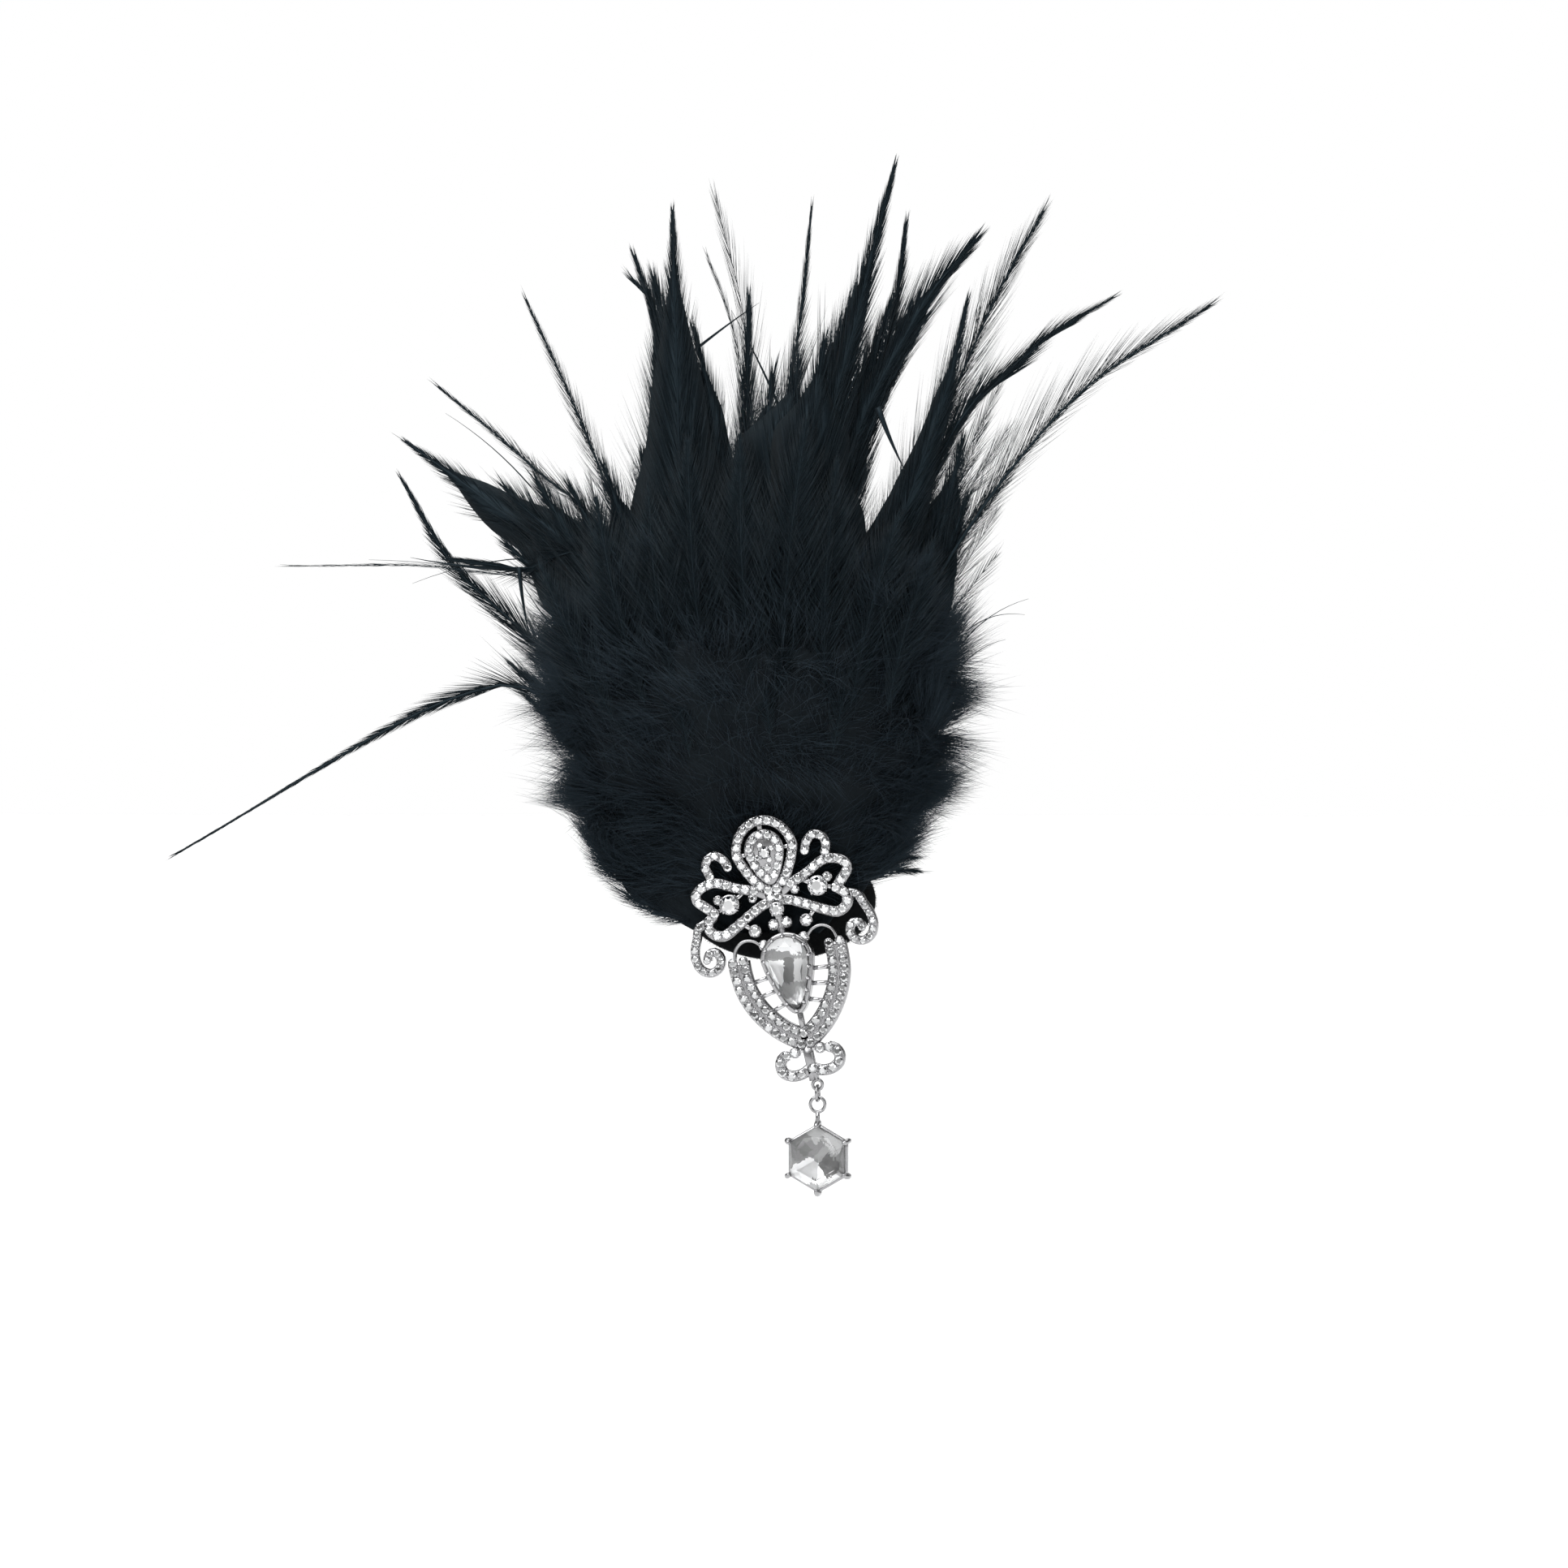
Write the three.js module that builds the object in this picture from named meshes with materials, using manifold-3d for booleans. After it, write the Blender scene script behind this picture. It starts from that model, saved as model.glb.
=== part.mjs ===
// Feather hair clip: a stone-set brooch with a swinging drop on a plume of black feathers.
// A felt pad and a spring clip lie behind the plume.
// Millimetres, +Z up, the brooch faces -Y. The origin lies between the clip's jaws, in the gripped hair.
import * as THREE from "three";
import { mergeVertices } from "three/addons/utils/BufferGeometryUtils.js";
import Module from "manifold-3d";

const wasm = await Module();
wasm.setup();

// Driving dimensions of the clip and the felt pad, millimetres
const CLIP_WIDTH = 8;
const CLIP_FOOT = -9;
const CLIP_TOP = 35;
const JAW_HALF_GAP = 2.5;
const JAW_WALL = 1;
const PAD_HALF_WIDTH = 22;
const PAD_HALF_HEIGHT = 13.5;
const PAD_CENTRE_ACROSS = -1;
const PAD_CENTRE_HEIGHT = 0.2;
const PAD_BACK = -3.9;
const PAD_THICK = 2;

// Driving dimensions of the brooch; its depths run from 0 at the back to negative at the front
const BROOCH_LEAN = THREE.MathUtils.degToRad(12.4);
const BROOCH_BACK = -12.6;
const BROOCH_LEVEL = 9.5;
const METAL_THICK = 1.5;
const STRIP_WIDTH = 2.4;
const STRIP_STEP = 2.5;
const SLIM_WIDTH = 2;
const WIRE_WIDTH = 0.9;
const STONE_PITCH = 2.1;
const STONE_WIDTH = 1.84;
const SLIM_STONE = 1.5;
const STONE_SUNK = 0.25;
const STONE_SPACE = 1.55;
const SHIELD_WIDTH = 5;
const SHIELD_ROW = 1.24;
const COLLAR_WIDTH = 1.4;
const COLLAR_FRONT = -2.6;
const TIP_PLATE = { up: 11.4, radius: 2.2 };
const CLUSTER_RING = { count: 4, radius: 1.9, stone: 1.2 };
const SEAT_GAP = 0.3;

// Driving dimensions of the hanging parts
const EYELET = { across: 0.5, up: -32.1, radius: 1.1, wire: 0.38 };
const RING = { radius: 1.7, wire: 0.35 };
const LOOP = { radius: 1.65, wire: 0.38 };
const LINK_PLAY = 0.15;
const DROP_HEIGHT = -56.9;
const DROP_SET_BACK = 0.9;
const BASKET_OUTER = 7.7;
const BASKET_INNER = 6.7;
const DROP_STONE = 7.1;
const PRONG_REACH = 7.9;
const PRONG = 0.6;

// Driving dimensions of the plume
const QUILL_DEPTH = -7.7;
const QUILL_FOOT = -3;
const QUILL_HALF_THICK = 1.4;
const TIP_HALF_THICK = 0.3;
const BLADE_STEPS = 7;
const PUFF_BACK = -9.4;
const PUFF_SIDES = 16;
const LOCK_LENGTH = 26;
const LOCK_HALF_WIDTH = 8.5;
const LOCK_FLAT = 0.4;
const LOCK_COUNT = 20;

// Colours
const BLACK_FELT = { color: 0x15171a, roughness: 0.95, metalness: 0 };
const BLACK_FEATHER = { color: 0x161a1d, roughness: 0.8, metalness: 0 };
const SILVER = { color: 0xb9bbbd, roughness: 0.25, metalness: 1 };
const STEEL = { color: 0x9a9da0, roughness: 0.35, metalness: 1 };
const CRYSTAL = { color: 0xe8ecee, roughness: 0.05, metalness: 0 };

// Scrolls of the brooch's right half, smooth lines through [across, up] pairs; the left half mirrors them
const SCROLLS = [
  { width: STRIP_WIDTH, stone: STONE_WIDTH,
    through: [[8.9, 19.2], [9.6, 21], [11.4, 22.4], [13.3, 21.6], [13.9, 20], [13.3, 18]] },
  { width: STRIP_WIDTH, stone: STONE_WIDTH,
    through: [[0.8, 10.6], [3.4, 12.4], [8.2, 14.3], [12.6, 16.4], [16.4, 15.6], [17.5, 13.6], [15.8, 11.6],
      [14, 9.8]] },
  { width: STRIP_WIDTH, stone: STONE_WIDTH,
    through: [[14, 9.8], [15.9, 8], [15.6, 5.8], [13.2, 4.5], [10, 5.8], [7.2, 7.3], [3.6, 9.1],
      [0.8, 9.8]] },
  { width: SLIM_WIDTH, stone: SLIM_STONE,
    through: [[16.4, 8.2], [18.4, 7.3], [19.2, 5.2], [20.2, 2.7], [20.5, 0.2], [19.6, -2], [17.6, -3],
      [15.6, -2.2], [14.9, -0.2], [15.9, 1.4], [17.3, 1]] },
  { width: STRIP_WIDTH, stone: STONE_WIDTH,
    through: [[0.4, -28.3], [2.2, -29.1], [4.4, -29.2], [6.3, -28.2], [6.8, -26.5], [6, -25.1]] },
  { width: WIRE_WIDTH, stone: 0, through: [[11.9, -1.6], [11.2, 0.9], [9.2, 2.3], [6.9, 2], [5.2, 0.5]] },
];

// Straight bars of the right half that tie the scrolls together: [across, up] at both ends
const BARS = [
  [[10.2, 11], [14, 9.8]],
  [[10.2, 11], [6.4, 13.2]],
  [[6.1, 4.1], [8.6, 6.5]],
  [[4.6, -6.6], [8.9, -7.1]],
  [[3.6, -9.8], [8.3, -10.6]],
  [[2.2, -13], [6, -14.2]],
  [[0, -23.8], [2.9, -24.2]],
  [[3.9, 21], [6.4, 21]],
];

// Bars on the brooch's axis: lower end, upper end and width
const SPINE = [
  [-31, -21, 2.2],
  [-20.6, -14.4, 1.2],
  [1.5, 11, 1.7],
  [12, 15, 1.2],
  [25, 28, 1.2],
];

// Single small stones of the right half in cups: across, up, stone width
const SINGLES = [
  [5.9, 4.1, 2.4],
  [4.6, 0.6, 1.9],
  [1.4, 4.6, 2.1],
  [2.9, -24.2, 1.9],
  [4.9, 11.3, 1.6],
  [12.6, 12.5, 1.8],
];

// Egg-shaped outlines with the point down: half-width, reach above and below the widest level, and that level
const HALO = { halfWidth: 6.4, rise: 6.9, fall: 9, point: 0.35, level: 21 };
const CLUSTER = { halfWidth: 4.2, rise: 4.5, fall: 7.3, point: 0.3, level: 21 };
const CLUSTER_ROW = { halfWidth: 3.2, rise: 3.5, fall: 5.8, point: 0.3, level: 21 };
const PEAR = { halfWidth: 4.75, rise: 4.8, fall: 11.2, point: 0.38, level: -3.4 };
const COLLAR = { halfWidth: 5.3, rise: 5.25, fall: 11.9, point: 0.36, level: -3.4 };
const CLAW_LINE = { halfWidth: 5.4, rise: 5.45, fall: 12, point: 0.36, level: -3.4 };
const CLUSTER_FRONT = -1.9;

// The shield's middle line on the right half, from its upper end down to the tip
const SHIELD = [[11.1, -1.9], [11.1, -5.2], [10.6, -9], [8.9, -13.2], [6.4, -16.8], [3.5, -19.6], [0, -21.5]];

// Round stones that are pieces of their own: name, across, up, stone width, front of the cup
const ROUND_STONES = [
  ["halo_stone", 0, 20.6, 2.3, CLUSTER_FRONT],
  ["side_stone_right", 10.2, 11, 4, -2.2],
  ["side_stone_left", -10.2, 11, 4, -2.2],
  ["trefoil_stone", 0, 7.8, 2.8, -1.8],
];

// Long feathers: x and z of a lower point, an upper point and the tip, the tip's depth, the vane's width
const FEATHERS = [
  [-58, 43.6, -90.3, 39.4, -140.8, 10.1, -7, 5],
  [-48.3, 63.2, -74.1, 74.5, -114.8, 75.8, -4, 3],
  [-52, 54, -75.5, 75.4, -89.6, 95.6, 0, 6],
  [-45, 70, -67.5, 89, -89.3, 104, 2, 20],
  [-37.5, 75.8, -57.9, 97.7, -80.3, 115.9, -2, 6],
  [-32.2, 70.4, -46.7, 106.4, -61.3, 135.7, 4, 7],
  [-20.8, 74, -24.4, 122.6, -25.7, 154.1, -3, 22],
  [-23.8, 74, -28.4, 122.6, -35.6, 145.1, 2, 9],
  [-7.5, 78, -9.5, 126, -17.7, 157.7, 6, 5],
  [-8, 90, -11, 124, -18.4, 145.1, 0, 4],
  [-2, 88, 3, 130, 4.9, 155, 3, 8],
  [6.7, 83, 17.6, 133.4, 25, 163.1, -4, 13],
  [13.7, 83, 24.8, 129.8, 27.5, 152.3, 2, 7],
  [12.6, 88.4, 27.8, 128.5, 42, 147.2, -1, 12],
  [22.8, 70.4, 36.2, 112.6, 41.1, 133.7, -4, 12],
  [24.7, 75.8, 44.2, 128, 57.3, 153.2, 4, 10],
  [33, 93.5, 54, 121.8, 73.3, 133.7, 0, 8],
  [30.6, 63.2, 63.4, 108.2, 95.6, 131, -4, 11],
  [-17, 56, -20.9, 92, -20.1, 115.4, -5, 26],
  [-2.4, 56, -0.7, 92, 3.7, 119, -5, 26],
  [4, 70, 6.4, 100, 9.6, 124, -6, 20],
  [14.1, 56, 28.6, 88.4, 37.6, 110, -5, 20],
  [-30, 47, -46.5, 75.8, -61.5, 90.2, -5, 24],
];

// Level sections of the down: height, left, right, front
const PUFF = [
  [-8, -16, 9, -12.1],
  [0, -32, 18, -12.2],
  [10, -40.5, 27.5, -12.2],
  [20.5, -43.5, 31.5, -12.4],
  [30, -45.5, 34.5, -21],
  [44, -49.5, 38, -27],
  [58, -50, 38, -27],
  [70, -45, 33, -22],
  [80, -34, 27, -16],
  [87, -14, 10, -11.5],
];

// Where the tips of the down's edge locks lie, a line through x and z pairs from lower left over the top
const FRINGE = [
  [-30, -5], [-44, 10], [-55, 44], [-52, 74], [-22, 93], [16, 91], [40, 75], [46, 50], [37, 20], [24, 2],
];
const FRINGE_CENTRE = new THREE.Vector3(-3, 0, 36);

// Locks on the down's front: x and z of the root, then its depth
const FRONT_LOCKS = [
  [-26, 28, -15], [-4, 26, -17], [20, 28, -15],
  [-34, 44, -18], [-13, 42, -24], [9, 42, -24], [28, 44, -18],
  [-24, 58, -21], [-3, 58, -24], [18, 58, -21],
];

// A solid that can be joined and cut, made from a closed geometry and turned to face outward
function solidOf(geometry) {
  geometry.deleteAttribute("normal");
  geometry.deleteAttribute("uv");
  const welded = mergeVertices(geometry, 1e-4);
  const vertProperties = new Float32Array(welded.attributes.position.array);
  const triVerts = new Uint32Array(welded.index.array);
  const solid = new wasm.Manifold(new wasm.Mesh({ numProp: 3, vertProperties, triVerts }));
  if (solid.volume() > 0) return solid;
  for (let i = 0; i < triVerts.length; i += 3) {
    [triVerts[i], triVerts[i + 1]] = [triVerts[i + 1], triVerts[i]];
  }
  return new wasm.Manifold(new wasm.Mesh({ numProp: 3, vertProperties, triVerts }));
}

function fuse(solids) {
  return solids.reduce((whole, next) => whole.add(next));
}

function piece(name, solid, look) {
  const { vertProperties, triVerts } = solid.getMesh();
  const geometry = new THREE.BufferGeometry();
  geometry.setAttribute("position", new THREE.BufferAttribute(new Float32Array(vertProperties), 3));
  geometry.setIndex(new THREE.BufferAttribute(new Uint32Array(triVerts), 1));
  geometry.computeVertexNormals();
  const mesh = new THREE.Mesh(geometry, new THREE.MeshStandardMaterial({ ...look, flatShading: true }));
  mesh.name = name;
  return mesh;
}

// A closed surface through rings of points with equal counts; a closed path joins its last ring to its first
function loft(rings, closed = false) {
  const count = rings[0].length;
  const index = [];
  const steps = closed ? rings.length : rings.length - 1;
  for (let i = 0; i < steps; i++) {
    const a = i * count;
    const b = ((i + 1) % rings.length) * count;
    for (let j = 0; j < count; j++) {
      const k = (j + 1) % count;
      index.push(a + j, a + k, b + k, a + j, b + k, b + j);
    }
  }
  const end = (rings.length - 1) * count;
  for (let j = 1; j + 1 < count && !closed; j++) {
    index.push(0, j + 1, j, end, end + j, end + j + 1);
  }
  const geometry = new THREE.BufferGeometry().setFromPoints(rings.flat());
  geometry.setIndex(index);
  return geometry;
}

// A point of the brooch from its table's across and up
function at(across, up, depth = 0) {
  return new THREE.Vector3(across, depth, up - BROOCH_LEVEL);
}

function egg({ halfWidth, rise, fall, point, level }, sides) {
  return Array.from({ length: sides }, (_, i) => {
    const angle = (2 * Math.PI * i) / sides;
    const s = Math.sin(angle);
    const pinch = s < 0 ? 1 + point * s : 1;
    return [halfWidth * Math.cos(angle) * pinch, level + (s > 0 ? rise : fall) * s];
  });
}

const mirrored = (pairs) => pairs.map(([across, up]) => [-across, up]);

// Evenly spaced points on a smooth line through [across, up] pairs
function trace(pairs, step, closed = false) {
  const points = pairs.map(([across, up]) => at(across, up));
  const curve = new THREE.CatmullRomCurve3(points, closed, "catmullrom", 0.5);
  const spaced = curve.getSpacedPoints(Math.max(1, Math.round(curve.getLength() / step)));
  return closed ? spaced.slice(0, -1) : spaced;
}

// Unit vectors square to a line of points, in the brooch's plane
function sideways(points, closed) {
  const last = points.length - 1;
  return points.map((_, i) => {
    const before = closed ? points.at(i - 1) : points[Math.max(i - 1, 0)];
    const after = closed ? points[(i + 1) % points.length] : points[Math.min(i + 1, last)];
    const along = after.clone().sub(before).normalize();
    return new THREE.Vector3(-along.z, 0, along.x);
  });
}

// A flat metal strip along a line of points, its front a little narrower than its back
function strip(points, width, { front = -METAL_THICK, closed = false } = {}) {
  const sides = sideways(points, closed);
  const corners = [[-0.5, 0], [0.5, 0], [0.47, front], [-0.47, front]];
  const rings = points.map((p, i) =>
    corners.map(([share, depth]) => p.clone().addScaledVector(sides[i], share * width).setY(depth)));
  return solidOf(loft(rings, closed));
}

// An upright post on the brooch; its radius may change from back to front
function post(p, backRadius, frontRadius, back, front, sides) {
  const cone = new THREE.CylinderGeometry(backRadius, frontRadius, back - front, sides);
  return solidOf(cone.translate(p.x, (back + front) / 2, p.z));
}

// Outlines at several depths joined into a cut stone: each row is a depth and a share of the outline's size
function cutStone(outline, centre, rows) {
  const rings = rows.map(([depth, share]) =>
    outline.map((p) => p.clone().sub(centre).multiplyScalar(share).add(centre).setY(depth)));
  return solidOf(loft(rings));
}

// A small stone with a table and seven crown facets, sunk a little into the metal
function smallStone(p, width, metalFront = -METAL_THICK) {
  const back = metalFront + STONE_SUNK;
  return post(p, width / 2, width * 0.3, back, back - width * 0.45, 7);
}

// The clip: a spring strip bent over at the top, its rear jaw closing toward the front one at the foot
function clip() {
  const inner = JAW_HALF_GAP;
  const outer = JAW_HALF_GAP + JAW_WALL;
  const profile = new THREE.Shape([
    [-outer, CLIP_FOOT], [-inner, CLIP_FOOT], [-inner, CLIP_TOP - 2], [-inner + 1, CLIP_TOP - JAW_WALL],
    [inner - 1, CLIP_TOP - JAW_WALL], [inner, CLIP_TOP - 2], [inner, 2], [-1.9, CLIP_FOOT + 1.2],
    [-1.9, CLIP_FOOT], [-0.9, CLIP_FOOT], [outer, 1.4], [outer, CLIP_TOP - 1.6], [outer - 1.6, CLIP_TOP],
    [-outer + 1.6, CLIP_TOP], [-outer, CLIP_TOP - 1.6],
  ].map(([depth, height]) => new THREE.Vector2(depth, height)));
  const bar = new THREE.ExtrudeGeometry(profile, { depth: CLIP_WIDTH, bevelEnabled: false });
  bar.translate(0, 0, -CLIP_WIDTH / 2);
  const turned = new THREE.Matrix4().makeBasis(
    new THREE.Vector3(0, 1, 0), new THREE.Vector3(0, 0, 1), new THREE.Vector3(1, 0, 0));
  return solidOf(bar.applyMatrix4(turned));
}

function feltPad() {
  const disc = new THREE.CylinderGeometry(1, 1, PAD_THICK, 32);
  disc.scale(PAD_HALF_WIDTH, 1, PAD_HALF_HEIGHT);
  return solidOf(disc.translate(PAD_CENTRE_ACROSS, PAD_BACK - PAD_THICK / 2, PAD_CENTRE_HEIGHT));
}

// Claws that stand around a round stone
function claws(p, radius, cupFront) {
  return [45, 135, 225, 315].map((degrees) => {
    const angle = THREE.MathUtils.degToRad(degrees);
    const foot = p.clone().add(new THREE.Vector3(Math.cos(angle), 0, Math.sin(angle)).multiplyScalar(radius));
    return post(foot, 0.38, 0.3, cupFront + 0.5, cupFront - 0.9, 4);
  });
}

function broochFrame() {
  const metal = [];
  const stones = [];
  const taken = [];
  const set = (p, width, front) => {
    if (taken.some((other) => other.distanceTo(p) < STONE_SPACE)) return;
    taken.push(p);
    stones.push(smallStone(p, width, front));
  };
  const setRow = (points, width) => points.forEach((p) => set(p, width));

  const haloLine = egg(HALO, 24);
  metal.push(strip(trace(haloLine, STRIP_STEP, true), STRIP_WIDTH, { closed: true }));
  setRow(trace(haloLine, STONE_PITCH, true), STONE_WIDTH);
  const plate = egg(CLUSTER, 20).map(([across, up]) => at(across, up));
  metal.push(cutStone(plate, at(0, 20), [[0, 1], [CLUSTER_FRONT, 1]]));
  trace(egg(CLUSTER_ROW, 24), STONE_PITCH, true).forEach((p) => set(p, STONE_WIDTH * 0.94, CLUSTER_FRONT));
  const [, haloAcross, haloUp] = ROUND_STONES[0];
  for (let i = 0; i < CLUSTER_RING.count; i++) {
    const angle = (2 * Math.PI * (i + 0.25)) / CLUSTER_RING.count;
    const across = haloAcross + CLUSTER_RING.radius * Math.cos(angle);
    const up = haloUp + CLUSTER_RING.radius * Math.sin(angle);
    stones.push(smallStone(at(across, up), CLUSTER_RING.stone, CLUSTER_FRONT));
  }
  metal.push(post(at(0, TIP_PLATE.up), TIP_PLATE.radius, TIP_PLATE.radius, 0, -METAL_THICK, 8));

  const collar = trace(egg(COLLAR, 24), 2.8, true);
  metal.push(strip(collar, COLLAR_WIDTH, { front: COLLAR_FRONT, closed: true }));
  trace(egg(CLAW_LINE, 24), 4.4, true).forEach((p) => metal.push(post(p, 0.42, 0.36, -1, -3.9, 4)));

  const shield = [...SHIELD, ...mirrored(SHIELD.slice(0, -1)).reverse()];
  const shieldLine = trace(shield, 3.6);
  metal.push(strip(shieldLine, SHIELD_WIDTH));
  const across = sideways(shieldLine, false);
  for (const row of [SHIELD_ROW, -SHIELD_ROW]) {
    const rowPairs = shieldLine.map((p, i) => p.clone().addScaledVector(across[i], row));
    const curve = new THREE.CatmullRomCurve3(rowPairs, false, "catmullrom", 0.5);
    setRow(curve.getSpacedPoints(Math.round(curve.getLength() / STONE_PITCH)), STONE_WIDTH);
  }

  for (const half of [(pairs) => pairs, mirrored]) {
    for (const { width, stone, through } of SCROLLS) {
      metal.push(strip(trace(half(through), STRIP_STEP), width));
      if (stone > 0) setRow(trace(half(through), STONE_PITCH), stone);
    }
    for (const bar of BARS) metal.push(strip(trace(half(bar), 20), WIRE_WIDTH));
    for (const [x, up, width] of SINGLES) {
      const [[side]] = half([[x, up]]);
      metal.push(post(at(side, up), width / 2 + 0.3, width / 2 + 0.2, 0, -METAL_THICK, 8));
      set(at(side, up), width);
    }
  }
  for (const [low, high, width] of SPINE) metal.push(strip([at(0, low), at(0, high)], width));
  for (const [, x, up, width, cupFront] of ROUND_STONES) {
    metal.push(post(at(x, up), width / 2 + 0.3, width / 2 + 0.3, 0, cupFront, 8));
    metal.push(...claws(at(x, up), width / 2 + 0.45, cupFront));
  }
  const eyelet = new THREE.TorusGeometry(EYELET.radius, EYELET.wire, 5, 10).rotateX(Math.PI / 2);
  const eye = at(EYELET.across, EYELET.up, -METAL_THICK / 2);
  metal.push(solidOf(eyelet.translate(eye.x, eye.y, eye.z)));
  return fuse([...metal, ...stones]);
}

function roundStone(across, up, width, cupFront) {
  const back = cupFront - SEAT_GAP;
  const outline = Array.from({ length: 10 }, (_, i) => {
    const angle = (2 * Math.PI * i) / 10;
    return at(across + (width / 2) * Math.cos(angle), up + (width / 2) * Math.sin(angle));
  });
  return cutStone(outline, at(across, up), [[back, 0.9], [back - 0.35, 1], [back - width * 0.3, 0.58]]);
}

function pearStone() {
  const outline = egg(PEAR, 16).map(([across, up]) => at(across, up));
  const girdle = COLLAR_FRONT - 0.4;
  return cutStone(outline, at(0, -4.8), [[-0.8, 0.38], [girdle, 1], [girdle - 0.3, 1], [girdle - 2.2, 0.56]]);
}

// Where the eyelet's lowest wire and the ring's lowest wire lie: the two pivots of the hanging parts
const eyeletBelow = BROOCH_LEVEL - EYELET.up;
const HANG_X = EYELET.across * Math.cos(BROOCH_LEAN) + eyeletBelow * Math.sin(BROOCH_LEAN);
const EYELET_Z = EYELET.across * Math.sin(BROOCH_LEAN) - eyeletBelow * Math.cos(BROOCH_LEAN) - EYELET.radius;
const HANG_Y = BROOCH_BACK - METAL_THICK / 2;
const RING_Z = EYELET_Z + EYELET.wire + RING.wire + LINK_PLAY - RING.radius;
const RING_FOOT_Z = RING_Z - RING.radius;
const LOOP_Z = RING_FOOT_Z + RING.wire + LOOP.wire + LINK_PLAY - LOOP.radius;

function jumpRing() {
  return solidOf(new THREE.TorusGeometry(RING.radius, RING.wire, 5, 12).rotateY(Math.PI / 2));
}

// Corners of the drop's hexagon, one corner up
function hexagon(radius) {
  return Array.from({ length: 6 }, (_, i) => {
    const angle = (Math.PI * (2 * i + 1)) / 6 + Math.PI / 3;
    return new THREE.Vector3(radius * Math.cos(angle), 0, radius * Math.sin(angle));
  });
}

function dropSetting() {
  const middle = new THREE.Vector3();
  const back = DROP_SET_BACK + 1.6;
  const front = DROP_SET_BACK - 0.8;
  const outer = cutStone(hexagon(BASKET_OUTER), middle, [[back, 0.96], [front, 1]]);
  const inner = cutStone(hexagon(BASKET_INNER), middle, [[back + 1, 1], [front - 1, 1]]);
  const prongs = hexagon(PRONG_REACH).map((p) => post(p, PRONG, PRONG * 0.8, back, front - 2.2, 6));
  const loopUp = LOOP_Z - DROP_HEIGHT;
  const neckFoot = BASKET_OUTER - 0.4;
  const neckTop = loopUp - LOOP.radius + 0.1;
  const neck = new THREE.BoxGeometry(1.3, 1.1, neckTop - neckFoot);
  const loop = new THREE.TorusGeometry(LOOP.radius, LOOP.wire, 5, 12).rotateX(Math.PI / 2);
  return fuse([
    outer.subtract(inner),
    ...prongs,
    solidOf(neck.translate(0, 0.2, (neckTop + neckFoot) / 2)),
    solidOf(loop.translate(0, 0, loopUp)),
  ]);
}

function dropStone() {
  const girdle = DROP_SET_BACK - 0.8 - SEAT_GAP;
  const corners = hexagon(DROP_STONE);
  const outline = corners.flatMap((p, i) => {
    const next = corners[(i + 1) % corners.length];
    return [p, p.clone().lerp(next, 0.5)];
  });
  const rows = [[girdle + 2.3, 0.3], [girdle, 1], [girdle - 0.4, 1], [girdle - 2.4, 0.6]];
  return cutStone(outline, new THREE.Vector3(), rows);
}

// One long feather as a thin blade on a curved quill
function blade([lowX, lowZ, highX, highZ, tipX, tipZ, tipDepth, width]) {
  const quill = new THREE.CatmullRomCurve3([
    new THREE.Vector3(THREE.MathUtils.clamp(lowX * 0.16, -7, 7), 0, QUILL_FOOT),
    new THREE.Vector3(lowX, 0, lowZ),
    new THREE.Vector3(highX, 0, highZ),
    new THREE.Vector3(tipX, 0, tipZ),
  ], false, "catmullrom", 0.5);
  const points = quill.getSpacedPoints(BLADE_STEPS);
  const sides = sideways(points, false);
  const rings = points.map((p, i) => {
    const t = i / BLADE_STEPS;
    const half = Math.max(1.2 - 1.05 * t, (width / 2) * Math.min(1, t * 3) * (1 - t ** 2.5));
    const thick = THREE.MathUtils.lerp(QUILL_HALF_THICK, TIP_HALF_THICK, Math.sqrt(t));
    p.setY(QUILL_DEPTH + (tipDepth - QUILL_DEPTH) * t * t);
    return [
      p.clone().addScaledVector(sides[i], -half),
      p.clone().add(new THREE.Vector3(0, thick, 0)),
      p.clone().addScaledVector(sides[i], half),
      p.clone().add(new THREE.Vector3(0, -thick, 0)),
    ];
  });
  return solidOf(loft(rings));
}

// A flat pointed lock of down from its root along a direction
function lock(root, out) {
  const cone = new THREE.ConeGeometry(LOCK_HALF_WIDTH, LOCK_LENGTH, 4).translate(0, LOCK_LENGTH / 2, 0);
  cone.scale(1, 1, LOCK_FLAT);
  const side = new THREE.Vector3(out.z, 0, -out.x).normalize();
  const turn = new THREE.Matrix4().makeBasis(side, out, side.clone().cross(out)).setPosition(root);
  return solidOf(cone.applyMatrix4(turn));
}

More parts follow.
